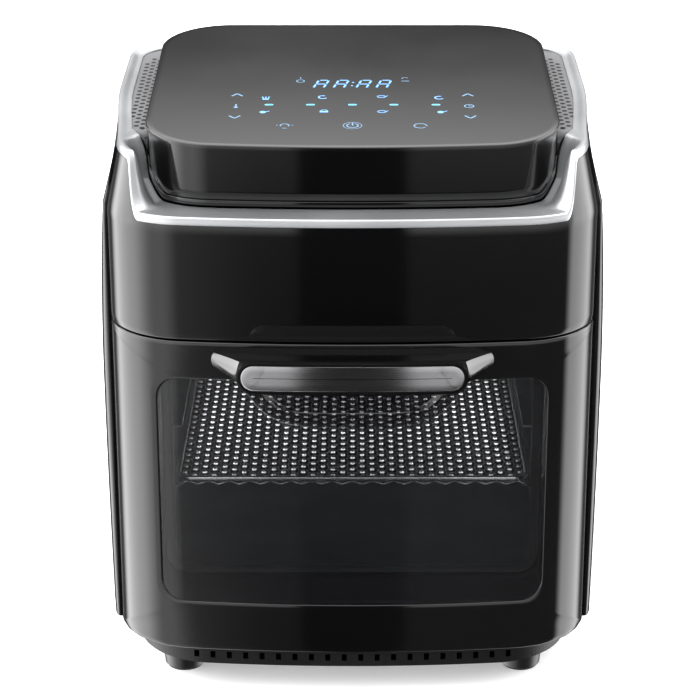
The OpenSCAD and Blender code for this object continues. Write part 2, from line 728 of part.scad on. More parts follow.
// ---- Electronics behind the oven ----
board_y = 144;
module power_board() {
    color("darkgreen") difference() {
        box([-52, board_y - 1.6, 66], [64, board_y, 142]);
        for (x = [-44, 56], z = [74, 134])
            rod_y(x, z, board_y - 4, board_y + 4, 1.6);
    }
}
module power_components() {
    color("#c8a030") {
        box([-30, board_y, 112], [-12, board_y + 15, 128]);
        box([6, board_y, 88], [38, board_y + 8, 118]);
        box([12, board_y + 8, 94], [32, board_y + 18, 112]);
        for (x = [-34, -20])
            rod_y(x, 92, board_y, board_y + 14, 5);
    }
}
// Cable bundle from the power board up to the control board, as a tube in one upright plane
HARNESS_R = 2.5;
HARNESS_SIDES = 10;
HARNESS = [
    [152, 142], [152, 290], [150, 305], [142, 320], [128, 330],
    [104, 335], [92, 338], [84, 346], [82, 364]
];
function harness_dir(i) =
    let (a = HARNESS[max(i - 1, 0)])
    let (b = HARNESS[min(i + 1, len(HARNESS) - 1)])
    (b - a) / norm(b - a);
module wiring_harness() {
    n = HARNESS_SIDES;
    last = len(HARNESS) - 1;
    points = [for (i = [0:last], k = [0:n - 1])
        let (d = harness_dir(i))
        [harness_x + HARNESS_R * cos(360 * k / n),
         HARNESS[i][0] + d[1] * HARNESS_R * sin(360 * k / n),
         HARNESS[i][1] - d[0] * HARNESS_R * sin(360 * k / n)]];
    sides = [for (i = [0:last - 1], k = [0:n - 1])
        [i * n + k, (i + 1) * n + k, (i + 1) * n + (k + 1) % n, i * n + (k + 1) % n]];
    color("#303034") polyhedron(
        points = points,
        faces = concat(sides, [[for (k = [0:n - 1]) k]], [[for (k = [n - 1:-1:0]) last * n + k]]),
        convexity = 6
    );
}

// ---- Door ----
door_back = -92.5;
door_wall_z = 51;
skin_t = 2.7;
liner_t = 3;
module window_tunnel(grow, y0, y1) {
    plate_y(window_hw + grow, window_z0 - grow, window_z1 + grow, y0, y1, 14 + grow);
}
module door_frame() {
    outer = front_line(shell_plan);
    inner = front_line(inset(shell_plan, skin_t));
    color("#070709") difference() {
        union() {
            shell_grid([[for (p = outer) at(p, door_z0)], [for (p = outer) at(p, door_z1)]],
                       [[for (p = inner) at(p, door_z0)], [for (p = inner) at(p, door_z1)]]);
            intersection() {
                plan_prism(inset(shell_plan, skin_t / 2), door_z0, door_z1);
                union() {
                    box([-160, -160, door_wall_z], [160, door_back - liner_t, door_wall_z + 2.5]);
                    box([-160, -160, door_z1 - 2.5], [160, door_back - liner_t, door_z1]);
                    window_tunnel(2.5, -142, door_back - liner_t);
                }
            }
        }
        window_tunnel(0, -150, -80);
        for (s = [-1, 1])
            rod_y(s * handle_screw_x, handle_z, handle_screw_y, -130, 2);
    }
}
module outer_glass() {
    outer = front_line(inset(shell_plan, 0.4));
    inner = front_line(inset(shell_plan, 2.6));
    color("#404448", 0.4) intersection() {
        shell_grid([[for (p = outer) at(p, door_z0)], [for (p = outer) at(p, door_z1)]],
                   [[for (p = inner) at(p, door_z0)], [for (p = inner) at(p, door_z1)]]);
        window_tunnel(-gap, -160, -90);
    }
}
module door_liner() {
    color("#161618") difference() {
        plate_y(145.6, door_z0 + 0.5, door_z1 - 0.5, door_back - liner_t, door_back, 5);
        plate_y(113, 70, 208, -100, -90, 8);
        for (s = [-1, 1])
            box(
                [s * 60 - 9, door_back - liner_t - cut, magnet_z - 3],
                [s * 60 + 9, door_back - 1, magnet_z + 3]
            );
    }
}
module inner_glass() {
    color("#606468", 0.3) plate_y(116, 67, 211, door_back - liner_t - 4, door_back - liner_t, 8);
}
handle_front = -177;
handle_z = 228;
handle_h = 20;
handle_hw = 68;
handle_root = 86;
handle_screw_x = 74;
handle_screw_y = -148;
// Plan of the handle: a round-cornered bar that flares back to the door
module handle_outline() {
    r = 9;
    nose = handle_front + r;
    span = handle_hw - r;
    corner = [for (k = [0:6]) let (a = -90 + 15 * k) [span + r * cos(a), nose + r * sin(a)]];
    flare = [for (k = [1:8]) let (u = k / 8)
        [handle_hw + (handle_root - handle_hw) * pow(u, 1.5), nose + (front_y + 6 - nose) * u]];
    right = concat(corner, flare);
    polygon(concat(right, [for (i = [len(right) - 1:-1:0]) [-right[i][0], right[i][1]]]));
}
module handle_body() {
    insert_t = 1.5;
    color("#060608") difference() {
        translate([0, 0, handle_z - handle_h / 2]) linear_extrude(height = handle_h) handle_outline();
        translate([0, 0, handle_z - handle_h]) linear_extrude(height = handle_h + 5) handle_pocket();
        plate_y(66, handle_z - 7.75, handle_z + 7.75, handle_front - cut, handle_front + insert_t, 7.7);
        plan_prism(shell_plan, 200, 260);
        for (s = [-1, 1])
            rod_y(s * handle_screw_x, handle_z, handle_screw_y, -130, 2);
    }
}
module handle_pocket() {
    right = [[58, handle_front + 7], [62, -158], [66, front_y + 4]];
    polygon(concat(right, [for (i = [2:-1:0]) [-right[i][0], right[i][1]]]));
}
module handle_insert() {
    color("silver") plate_y(66, handle_z - 7.75, handle_z + 7.75, handle_front, handle_front + 1.5, 7.7);
}
GUARD_T = 2;
// Smoked half-moon plate that keeps fingers off the hot window
module finger_guard() {
    half = 62;
    drop = 34;
    arc_r = 74;
    color("#303236", 0.6) intersection() {
        plan_prism(inset(shell_plan, -GUARD_T - 0.2), 180, 220);
        translate([0, -130, handle_z - handle_h / 2 - drop]) rotate([90, 0, 0]) linear_extrude(height = 30)
            intersection() {
                translate([0, arc_r]) circle(r = arc_r, $fn = 96);
                translate([-half, 0]) square([2 * half, drop]);
            }
        difference() {
            box([-100, -160, 180], [100, -130, 220]);
            plan_prism(inset(shell_plan, -0.2), 170, 230);
        }
    }
}
module handle_screws() {
    color("silver") for (s = [-1, 1]) {
        rod_y(s * handle_screw_x, handle_z, handle_screw_y + 0.5, -134, 2);
        rod_y(s * handle_screw_x, handle_z, -134, -131.5, 4);
    }
}
module door_hinge_arms() {
    // side profile of an arm, from the pivot to its foot under the door's inner floor
    profile = [[-4, 0], [0, -4], [4, 0], [16, 21], [20, 21], [20, door_wall_z - hinge_z],
               [2, door_wall_z - hinge_z], [3, 13]];
    color("silver") for (s = [-1, 1])
        difference() {
            union() {
                translate([s > 0 ? arm_x : -arm_x - arm_t, hinge_y, hinge_z]) rotate([90, 0, 90])
                    linear_extrude(height = arm_t) polygon(profile);
                rod_x(s > 0 ? arm_x : -arm_x - arm_t, s > 0 ? arm_x + arm_t : -arm_x, hinge_y, hinge_z, 4);
            }
            rod_x(s > 0 ? 95 : -111, s > 0 ? 111 : -95, hinge_y, hinge_z, pin_r + SHAFT_FIT);
        }
}

base_pan();
left_side_cover();
right_side_cover();
rear_cover();
front_upper_shell();
top_bezel();
vent_deck();
left_vent_grille();
right_vent_grille();
panel_housing();
panel_floor();
panel_glass();
control_board();
display_module();
touch_springs();
foot(-foot_x, FOOT_Y[0]);  // front_left_foot
foot(foot_x, FOOT_Y[0]);  // front_right_foot
foot(-foot_x, FOOT_Y[1]);  // rear_left_foot
foot(foot_x, FOOT_Y[1]);  // rear_right_foot
foot_pads();
oven_cavity();
cavity_front_frame();
door_gasket();
heating_element();
element_brackets();
fan_guard();
fan_chamber();
fan_motor();
motor_bracket();
power_board();
power_components();
temperature_sensors();
lamp_housing();
lamp_lens();
oven_lamp();
left_rack_rail();
right_rack_rail();
mesh_rack();
drip_tray();
rotisserie_motor();
door_switch();
door_magnets();
hinge_pins();
cord_gland();
cover_screws();
wiring_harness();
motor_shaft();
hot_air_impeller();
cooling_impeller();
rotisserie_spindle();
switch_plunger();
door_frame();
outer_glass();
inner_glass();
door_liner();
handle_body();
handle_insert();
finger_guard();
handle_screws();
door_hinge_arms();
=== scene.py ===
import math

import bmesh
import bpy
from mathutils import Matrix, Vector


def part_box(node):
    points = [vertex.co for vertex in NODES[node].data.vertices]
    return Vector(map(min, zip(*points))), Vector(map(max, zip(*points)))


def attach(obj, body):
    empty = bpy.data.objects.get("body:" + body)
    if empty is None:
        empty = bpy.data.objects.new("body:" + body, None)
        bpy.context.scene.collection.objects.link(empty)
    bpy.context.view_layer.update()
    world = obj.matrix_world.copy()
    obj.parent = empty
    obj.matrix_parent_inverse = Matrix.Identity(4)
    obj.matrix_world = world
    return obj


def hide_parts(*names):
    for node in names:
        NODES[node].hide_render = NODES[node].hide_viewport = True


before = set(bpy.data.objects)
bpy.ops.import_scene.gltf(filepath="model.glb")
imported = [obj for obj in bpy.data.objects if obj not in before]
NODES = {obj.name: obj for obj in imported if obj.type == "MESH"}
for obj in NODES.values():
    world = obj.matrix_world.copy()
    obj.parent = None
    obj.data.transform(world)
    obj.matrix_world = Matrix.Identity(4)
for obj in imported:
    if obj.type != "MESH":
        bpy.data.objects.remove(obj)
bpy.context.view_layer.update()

MM = 0.001

# ---------------------------------------------------------------------------
# Measures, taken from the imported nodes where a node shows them
# ---------------------------------------------------------------------------
SHELL_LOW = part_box("front_upper_shell")[0]
DOOR_LOW, DOOR_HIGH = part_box("door_frame")
GLASS_LOW, GLASS_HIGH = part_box("outer_glass")
PANEL_LOW, PANEL_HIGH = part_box("panel_glass")
COVER_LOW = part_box("right_side_cover")[0]
INSERT_LOW, INSERT_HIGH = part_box("handle_insert")
HANDLE_LOW, HANDLE_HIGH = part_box("handle_body")
GUARD_LOW, GUARD_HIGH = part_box("finger_guard")
RACK_LOW, RACK_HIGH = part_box("mesh_rack")

FRONT_Y = DOOR_LOW[1]
BOW_R = 900 * MM
CORNER_R = 52 * MM
BAND_H = 4.8 * MM
LIP_Z = 315 * MM
RIM_Z = 349 * MM
RIM_SLOPE = math.tan(math.radians(4))
PANEL_Z = 353.5 * MM
PANEL_SLOPE = math.tan(math.radians(6.25))
PANEL_GAP = 0.6 * MM
BODY_HW = 150 * MM
BODY_REAR_Y = 116 * MM
REAR_CORNER_R = 32 * MM
# The top of the front corners leans in, most at the front of the rim
LEAN = 8.5 * MM
LEAN_Z = 309 * MM
LEAN_HEIGHT = 40 * MM
LEAN_DEPTH = 130 * MM
RIM_Y = -110 * MM
# Inner edge of the bezel
SCOOP_RISE = 11 * MM
SHELF_DROP = 2.7 * MM
LIP_FLOOR = 0.6 * MM


def outline(half_width, front, corner, rear, rear_corner, bow=BOW_R):
    """A plan outline: a bowed front, round front corners, straight sides and a straight rear."""
    return dict(hw=half_width, front=front, bow=bow, corner=corner, rear=rear, rear_corner=rear_corner)


SHELL = outline(BODY_HW, FRONT_Y, CORNER_R, BODY_REAR_Y, REAR_CORNER_R)
SCOOP = outline(141.5 * MM, -123.4 * MM, 57 * MM, 109.5 * MM, 24 * MM)
PANEL = outline(PANEL_HIGH[0], PANEL_LOW[1], 45 * MM, PANEL_HIGH[1], 45 * MM)


def inset(o, d):
    """The same outline set in by d all round."""
    return outline(o["hw"] - d, o["front"] + d, o["corner"] - d,
                   o["rear"] - d, o["rear_corner"] - d, o["bow"] - d)


def corner_centre(o):
    """Centre of the front corner and the angle of the bow where it meets the corner."""
    cx = o["hw"] - o["corner"]
    bow = math.asin(cx / (o["bow"] - o["corner"]))
    return cx, o["front"] + o["bow"] - (o["bow"] - o["corner"]) * math.cos(bow), bow


def plan_point(o, t):
    """Point at station t: 0 to 1 bow, 1 to 2 corner, 2 to 3 side, 3 to 4 rear corner, 4 to 5 rear."""
    side = -1 if t < 0 else 1
    t = abs(t)
    cx, cy, bow = corner_centre(o)
    rear_y = o["rear"] - o["rear_corner"]
    if t <= 1:
        x = o["bow"] * math.sin(bow * t)
        y = o["front"] + o["bow"] * (1 - math.cos(bow * t))
    elif t <= 2:
        turn = (math.pi / 2 - bow) * (t - 2)
        x = cx + o["corner"] * math.cos(turn)
        y = cy + o["corner"] * math.sin(turn)
    elif t <= 3:
        x = o["hw"]
        y = cy + (rear_y - cy) * (t - 2)
    elif t <= 4:
        back = math.pi / 2 * (t - 3)
        x = o["hw"] - o["rear_corner"] * (1 - math.cos(back))
        y = rear_y + o["rear_corner"] * math.sin(back)
    else:
        x = (o["hw"] - o["rear_corner"]) * (5 - t)
        y = o["rear"]
    return Vector((side * x, y))


def ring_stations(bow=24, corner=80, side=30, rear_corner=24, rear=12):
    """Stations all the way round an outline, from the middle of the rear."""
    half = [i / bow for i in range(bow)] + [1 + i / corner for i in range(corner)]
    half += [2 + i / side for i in range(side)] + [3 + i / rear_corner for i in range(rear_corner)]
    half += [4 + i / rear for i in range(rear)]
    return [5.0] + [-t for t in reversed(half[1:])] + half


def front_stations(bow=24, corner=48, last=2.0):
    """Stations along the front of an outline, from one corner to the other."""
    half = [i / bow for i in range(bow)] + [1 + i * (last - 1) / corner for i in range(corner + 1)]
    return [-t for t in reversed(half[1:])] + half


def ease(u):
    v = min(max(u, 0.0), 1.0)
    return v * v * (3 - 2 * v)


def between(t, start, end):
    """Smooth share of the way from one station to another, the same on both sides."""
    return ease((abs(t) - start) / (end - start))


def rim_height(y):
    return RIM_Z + (y - RIM_Y) * RIM_SLOPE


def panel_height(y):
    return PANEL_Z + (y - PANEL["front"]) * PANEL_SLOPE


def lean(y, z):
    """How far the top of the front corners leans in, at a depth and a height."""
    share = min(max((z - LEAN_Z) / LEAN_HEIGHT, 0), 1)
    return LEAN * (1 - ease((y - RIM_Y) / LEAN_DEPTH)) * share


def lip_height(t, y):
    """Outer edge of the bezel: the low front lip, then up the corner to the rim."""
    return LIP_Z + (rim_height(y) - LIP_Z) * between(t, 1.34, 1.59)


def scoop_height(t, y):
    """Inner edge of the bezel: low along the panel's front, then up to the vent shelf."""
    shelf = rim_height(y) - SHELF_DROP - LIP_Z - SCOOP_RISE
    rise = SCOOP_RISE * between(t, 1.46, 1.80)
    return LIP_Z + LIP_FLOOR + rise + shelf * between(t, 1.74, 1.91)


def scoop_point(t):
    """Inner edge of the bezel in plan: along the panel's wall, then out round the vent shelf."""
    y = plan_point(SCOOP, t)[1]
    leaned = plan_point(inset(SCOOP, lean(y, RIM_Z)), t)
    wall = plan_point(inset(PANEL, -PANEL_GAP), t)
    return wall.lerp(leaned, between(t, 1.8, 2.0))


# ---------------------------------------------------------------------------
# Mesh helpers
# ---------------------------------------------------------------------------
def new_object(name, mesh, material=None, sharp=35):
    obj = bpy.data.objects.new(name, mesh)
    bpy.context.scene.collection.objects.link(obj)
    if material:
        mesh.materials.append(material)
    mesh.shade_smooth()
    if sharp:
        mesh.set_sharp_from_angle(angle=math.radians(sharp))
    return obj


def from_bmesh(name, bm, material=None, sharp=35):
    bmesh.ops.recalc_face_normals(bm, faces=bm.faces)
    mesh = bpy.data.meshes.new(name)
    bm.to_mesh(mesh)
    bm.free()
    return new_object(name, mesh, material, sharp)


def grid(name, rows, material=None, closed=False, cap_last=False, sharp=35):
    """A surface through rows of points; closed joins the ends of each row, cap_last fills the last."""
    bm = bmesh.new()
    lines = [[bm.verts.new(p) for p in row] for row in rows]
    n = len(rows[0])
    for a, b in zip(lines, lines[1:]):
        for j in range(n if closed else n - 1):
            k = (j + 1) % n
            bm.faces.new((a[j], a[k], b[k], b[j]))
    if cap_last:
        bm.faces.new(list(reversed(lines[-1])))
    return from_bmesh(name, bm, material, sharp)


def solidify(obj, thickness):
    """Thicken a sheet downwards from its surface."""
    mod = obj.modifiers.new("thickness", "SOLIDIFY")
    mod.thickness = thickness
    mod.offset = -1.0
    mod.use_even_offset = True
    return obj


def place(obj, body, slot, *replaced):
    """Make a piece ride its body and hide the CAD nodes it stands for; the slot argument is not used."""
    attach(obj, body)
    if replaced:
        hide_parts(*replaced)
    return obj


def at(p, z):
    return Vector((p[0], p[1], z))


# ---------------------------------------------------------------------------
# Materials
# ---------------------------------------------------------------------------
def base_material(name, color, roughness, metallic=0.0, **sockets):
    mat = bpy.data.materials.new(name)
    mat.use_nodes = True
    shader = mat.node_tree.nodes["Principled BSDF"]
    shader.inputs["Base Color"].default_value = (*color, 1)
    shader.inputs["Roughness"].default_value = roughness
    shader.inputs["Metallic"].default_value = metallic
    for key, value in sockets.items():
        shader.inputs[key.replace("_", " ")].default_value = value
    return mat, mat.node_tree, shader


def noise(tree, scale, detail=3.0, stretch=(1, 1, 1)):
    """Noise in object coordinates, stretched along the axes when asked."""
    coords = tree.nodes.new("ShaderNodeTexCoord")
    mapping = tree.nodes.new("ShaderNodeMapping")
    mapping.inputs["Scale"].default_value = stretch
    tex = tree.nodes.new("ShaderNodeTexNoise")
    tex.inputs["Scale"].default_value = scale
    tex.inputs["Detail"].default_value = detail
    tree.links.new(coords.outputs["Object"], mapping.inputs["Vector"])
    tree.links.new(mapping.outputs["Vector"], tex.inputs["Vector"])
    return tex.outputs["Fac"]


def vary(tree, shader, fac, socket, low, high):
    ramp = tree.nodes.new("ShaderNodeMapRange")
    ramp.inputs["From Min"].default_value = 0.3
    ramp.inputs["From Max"].default_value = 0.7
    ramp.inputs["To Min"].default_value = low
    ramp.inputs["To Max"].default_value = high
    tree.links.new(fac, ramp.inputs["Value"])
    tree.links.new(ramp.outputs["Result"], shader.inputs[socket])


def vary_color(tree, shader, fac, dark, light):
    ramp = tree.nodes.new("ShaderNodeValToRGB")
    ramp.color_ramp.elements[0].position = 0.3
    ramp.color_ramp.elements[1].position = 0.7
    ramp.color_ramp.elements[0].color = (*dark, 1)
    ramp.color_ramp.elements[1].color = (*light, 1)
    tree.links.new(fac, ramp.inputs["Fac"])
    tree.links.new(ramp.outputs["Color"], shader.inputs["Base Color"])


def bump(tree, shader, fac, strength, distance):
    node = tree.nodes.new("ShaderNodeBump")
    node.inputs["Strength"].default_value = strength
    node.inputs["Distance"].default_value = distance
    tree.links.new(fac, node.inputs["Height"])
    tree.links.new(node.outputs["Normal"], shader.inputs["Normal"])


def moulded(name, color, roughness, grain, depth, spread=0.04, **sockets):
    """Moulded plastic or paint: faint cloudiness in the gloss and a fine surface texture."""
    mat, tree, shader = base_material(name, color, roughness, **sockets)
    cloud = noise(tree, 14, 2)
    vary(tree, shader, cloud, "Roughness", roughness - spread, roughness + spread)
    vary_color(tree, shader, cloud, [c * 0.92 for c in color], [c * 1.08 for c in color])
    bump(tree, shader, noise(tree, grain, 2), depth, 0.0002)
    return mat


def metal(name, color, roughness, scale, depth, spread=0.08):
    """Metal with a fine even grain."""
    mat, tree, shader = base_material(name, color, roughness, 1.0)
    grain = noise(tree, scale, 3)
    vary(tree, shader, grain, "Roughness", roughness - spread, roughness + spread)
    vary_color(tree, shader, noise(tree, 20, 3),
               [c * 0.88 for c in color], [min(c * 1.1, 1) for c in color])
    bump(tree, shader, grain, depth, 0.0001)
    return mat


def brushed(name, color, roughness):
    """Metal brushed along its length, which spreads reflections across the lines."""
    mat, tree, shader = base_material(name, color, roughness, 1.0, Anisotropic=0.9)
    lines = noise(tree, 60, 4, (1, 30, 90))
    vary(tree, shader, lines, "Roughness", roughness - 0.02, roughness + 0.02)
    vary_color(tree, shader, lines, [c * 0.93 for c in color], [c * 1.06 for c in color])
    tangent = tree.nodes.new("ShaderNodeTangent")
    tangent.direction_type = "RADIAL"
    tangent.axis = "X"
    tree.links.new(tangent.outputs["Tangent"], shader.inputs["Tangent"])
    return mat


def glowing(name, color, strength):
    mat, tree, shader = base_material(name, [c * 0.3 for c in color], 0.4)
    shader.inputs["Emission Color"].default_value = (*color, 1)
    shader.inputs["Emission Strength"].default_value = strength
    vary(tree, shader, noise(tree, 900, 1), "Roughness", 0.35, 0.45)
    return mat


def glass(name, color, alpha, roughness=0.02, ior=1.7):
    mat, tree, shader = base_material(name, color, roughness, IOR=ior, Alpha=alpha)
    vary(tree, shader, noise(tree, 9, 2), "Roughness", roughness, roughness + 0.015)
    return mat


GLOSS = moulded("gloss_black_plastic", (0.0012, 0.0012, 0.0014), 0.06, 60, 0.006, 0.012)
HANDLE_GLOSS = moulded("handle_gloss_plastic", (0.0015, 0.0015, 0.0016), 0.12, 60, 0.006, 0.012, IOR=1.75)
BASE = moulded("base_plastic", (0.003, 0.003, 0.0034), 0.40, 900, 0.1, Specular_IOR_Level=0.25)
RIM_BLACK = moulded("handle_rim_plastic", (0.001, 0.001, 0.001), 0.35, 900, 0.05, Specular_IOR_Level=0.15)
SIDE = moulded("side_black_plastic", (0.0015, 0.0015, 0.0017), 0.14, 300, 0.02, 0.03)
SATIN = moulded("satin_black_plastic", (0.004, 0.004, 0.0045), 0.40, 900, 0.15)
FOOT = moulded("foot_plastic", (0.004, 0.004, 0.0045), 0.36, 1100, 0.2)
RUBBER = moulded("rubber", (0.02, 0.02, 0.02), 0.75, 1200, 0.3)
SILVER = moulded("silver_frame_paint", (0.40, 0.405, 0.415), 0.33, 1500, 0.05, 0.03, Metallic=0.8)
GRILLE = moulded("grille_paint", (0.13, 0.13, 0.135), 0.42, 1300, 0.12, 0.04, Metallic=0.3)
PANEL_GLOSS = moulded("touch_panel", (0.002, 0.002, 0.0022), 0.09, 800, 0.004, 0.015)
BRUSHED = brushed("brushed_insert", (0.40, 0.40, 0.41), 0.15)
STEEL = metal("sheet_steel", (0.42, 0.42, 0.43), 0.34, 500, 0.06)
LINER = metal("coated_liner", (0.26, 0.26, 0.27), 0.42, 700, 0.1)
CHROME = metal("plated_wire", (0.72, 0.72, 0.74), 0.16, 300, 0.03, 0.04)
RACK_SHEET = metal("rack_sheet", (0.05, 0.05, 0.055), 0.40, 900, 0.1)
# Painted highlight: the raised hole rims are the same steel as the rack sheet, coloured much lighter so
# they read as glints on the hole edges
RIM_GLINT = moulded("hole_rims_painted_glint", (0.42, 0.42, 0.43), 0.35, 900, 0.1, 0.05, Metallic=0.4)
ALU = metal("cast_aluminium", (0.6, 0.6, 0.61), 0.38, 600, 0.15)
ELEMENT = metal("element_sheath", (0.10, 0.085, 0.075), 0.5, 500, 0.2)
MOTOR = moulded("motor_enamel", (0.05, 0.05, 0.055), 0.4, 700, 0.15, 0.05, Metallic=0.5)
CERAMIC = moulded("ceramic", (0.7, 0.67, 0.6), 0.55, 900, 0.2)
BOARD = moulded("circuit_board", (0.015, 0.10, 0.04), 0.38, 500, 0.15)
COMPONENT = moulded("component_case", (0.20, 0.15, 0.05), 0.42, 600, 0.1)
CABLE = moulded("cable_sleeve", (0.02, 0.02, 0.025), 0.55, 1500, 0.5)
RED = moulded("switch_button", (0.4, 0.03, 0.02), 0.35, 700, 0.1)
SMOKED = glass("smoked_window", (0.004, 0.004, 0.005), 0.30, 0.05, 2.1)
CLEAR = glass("clear_glass", (0.03, 0.035, 0.035), 0.12)
GUARD = glass("smoked_guard", (0.003, 0.003, 0.004), 0.72, 0.05)
BLUE = glowing("led_blue", (0.20, 0.50, 1.0), 1.1)
PALE = glowing("led_pale", (0.22, 0.42, 0.66), 0.6)
CYAN = glowing("led_cyan", (0.18, 0.62, 0.85), 1.0)
# Painted shade: a near-black matt material for the discs that stand in for the shade inside the vent holes
HOLE_SHADE = moulded("painted_vent_hole_shade", (0.003, 0.003, 0.003), 0.8, 600, 0.1)

NODE_MATERIALS = {
    "base_pan": BASE, "left_side_cover": SIDE, "right_side_cover": SIDE, "rear_cover": SATIN,
    "vent_deck": SATIN, "left_vent_grille": GRILLE, "right_vent_grille": GRILLE, "panel_floor": SATIN,
    "control_board": BOARD, "display_module": SATIN, "touch_springs": CHROME, "foot_pads": RUBBER,
    "front_left_foot": FOOT, "front_right_foot": FOOT, "rear_left_foot": FOOT, "rear_right_foot": FOOT,
    "oven_cavity": LINER, "cavity_front_frame": SATIN, "door_gasket": RUBBER, "heating_element": ELEMENT,
    "element_brackets": STEEL, "fan_guard": STEEL, "fan_chamber": STEEL, "fan_motor": MOTOR,
    "motor_bracket": STEEL, "power_board": BOARD, "power_components": COMPONENT,
    "temperature_sensors": CERAMIC, "lamp_housing": STEEL, "lamp_lens": CLEAR, "oven_lamp": CLEAR,
    "left_rack_rail": CHROME, "right_rack_rail": CHROME, "drip_tray": LINER, "rotisserie_motor": MOTOR,
    "door_switch": SATIN, "door_magnets": MOTOR, "hinge_pins": CHROME, "cord_gland": SATIN,
    "cover_screws": STEEL, "wiring_harness": CABLE, "motor_shaft": STEEL, "hot_air_impeller": ALU,
    "cooling_impeller": SATIN, "rotisserie_spindle": CHROME, "switch_plunger": RED,
    "inner_glass": CLEAR, "door_liner": SATIN, "handle_screws": STEEL, "door_hinge_arms": STEEL,
}


def dress_nodes():
    for name, material in NODE_MATERIALS.items():
        mesh = NODES[name].data
        mesh.materials.clear()
        mesh.materials.append(material)


# ---------------------------------------------------------------------------
# Front surface: (s, z) on the bowed front, s measured along the outline from the middle
# ---------------------------------------------------------------------------
CORNER_X, CORNER_Y, BOW_ANGLE = corner_centre(SHELL)
S_BOW = SHELL["bow"] * BOW_ANGLE
S_CORNER = S_BOW + SHELL["corner"] * (math.pi / 2 - BOW_ANGLE)


def front_point(s, z, depth=0.0):
    """Point of the front surface, set in by depth."""
    side = -1 if s < 0 else 1
    a = abs(s)
    if a <= S_BOW:
        angle = a / SHELL["bow"]
        r = SHELL["bow"] - depth
        x = r * math.sin(angle)
        y = SHELL["front"] + SHELL["bow"] - r * math.cos(angle)
    elif a <= S_CORNER:
        angle = BOW_ANGLE + (a - S_BOW) / SHELL["corner"]
        r = SHELL["corner"] - depth
        x = CORNER_X + r * math.sin(angle)
        y = CORNER_Y - r * math.cos(angle)
    else:
        x = SHELL["hw"] - depth
        y = CORNER_Y + (a - S_CORNER)
    return Vector((side * x, y, z))


def s_at(x):
    """Arc length of the front outline at a distance x from the middle, on the bow or the corner."""
    if x <= SHELL["bow"] * math.sin(BOW_ANGLE):
        return SHELL["bow"] * math.asin(x / SHELL["bow"])
    turn = math.asin(min((x - CORNER_X) / SHELL["corner"], 1))
    return S_BOW + SHELL["corner"] * (turn - BOW_ANGLE)


def round_rect(s0, s1, z0, z1, r, per_side=28, per_corner=10):
    """Closed outline of a rectangle with round corners, counter-clockwise from the lower left."""
    points = []
    centres = [(s1 - r, z0 + r, -90), (s1 - r, z1 - r, 0), (s0 + r, z1 - r, 90), (s0 + r, z0 + r, 180)]
    starts = [(s0 + r, z0), (s1, z0 + r), (s1 - r, z1), (s0, z1 - r)]
    for (cx, cz, a0), (px, pz) in zip(centres, starts):
        ex = cx + r * math.cos(math.radians(a0))
        ez = cz + r * math.sin(math.radians(a0))
        for i in range(per_side):
            u = i / per_side
            points.append((px + (ex - px) * u, pz + (ez - pz) * u))
        for i in range(per_corner):
            a = math.radians(a0 + 90 * i / per_corner)
            points.append((cx + r * math.cos(a), cz + r * math.sin(a)))
    return points


WINDOW_S = s_at(GLASS_HIGH[0]) + 0.3 * MM
WINDOW_Z = (GLASS_LOW[2] - 0.3 * MM, GLASS_HIGH[2] + 0.3 * MM)
WINDOW_R = 14 * MM
DOOR_S = S_CORNER - 6.4 * MM
DOOR_Z = (DOOR_LOW[2], DOOR_HIGH[2])
DOOR_CORNER = 7 * MM
DOOR_BACK_Y = -95.5 * MM
DOOR_EDGE = 1.2 * MM
WINDOW_EDGE = 0.9 * MM
SKIN_T = 2.7 * MM


def window_outline(grow):
    return round_rect(-WINDOW_S - grow, WINDOW_S + grow,
                      WINDOW_Z[0] - grow, WINDOW_Z[1] + grow, WINDOW_R + grow)


def door_outline(shrink):
    return round_rect(-DOOR_S + shrink, DOOR_S - shrink, DOOR_Z[0] + shrink, DOOR_Z[1] - shrink,
                      DOOR_CORNER - shrink * 0.5)


def build_door_skin():
    """Bowed door shell: window tunnel, front face, rounded edges and the back of the skin."""
    tunnel = [front_point(s, z, WINDOW_EDGE) for s, z in window_outline(0)]
    rows = [[Vector((p.x, DOOR_BACK_Y, p.z)) for p in tunnel], tunnel,
            [front_point(s, z, 0.3 * MM) for s, z in window_outline(0.25 * MM)],
            [front_point(s, z) for s, z in window_outline(WINDOW_EDGE)]]

    def blend_rows(near, far, depth, steps):
        for i in range(1, steps):
            u = i / steps
            rows.append([front_point(a[0] + (b[0] - a[0]) * u, a[1] + (b[1] - a[1]) * u, depth)
                         for a, b in zip(near, far)])

    blend_rows(window_outline(WINDOW_EDGE), door_outline(DOOR_EDGE), 0, 14)
    rows += [[front_point(s, z) for s, z in door_outline(DOOR_EDGE)],
             [front_point(s, z, 0.35 * MM) for s, z in door_outline(0.35 * MM)],
             [front_point(s, z, DOOR_EDGE) for s, z in door_outline(0)],
             [front_point(s, z, SKIN_T) for s, z in door_outline(0.1 * MM)]]
    blend_rows(door_outline(0.1 * MM), window_outline(2.5 * MM), SKIN_T, 6)
    skin = grid("door_skin", rows, GLOSS, closed=True, sharp=50)
    return place(skin, "door", "gloss_black", "door_frame")


def build_door_shelves():
    """Inner floor and top wall of the door, between the skin and the liner."""
    stations = [DOOR_S * 0.97 * (-1 + 2 * i / 60) for i in range(61)]
    for name, low, high in (("door_floor", 51, 53.5), ("door_roof", 234.5, 237)):
        rows = []
        for z, deep in ((low, True), (low, False), (high, False), (high, True)):
            front = [front_point(s, z * MM, SKIN_T * 0.8) for s in stations]
            rows.append([Vector((p.x, max(DOOR_BACK_Y, p.y), p.z)) for p in front] if deep else front)
        rows.append(rows[0])
        place(grid(name, rows, SATIN), "door", "gloss_black")


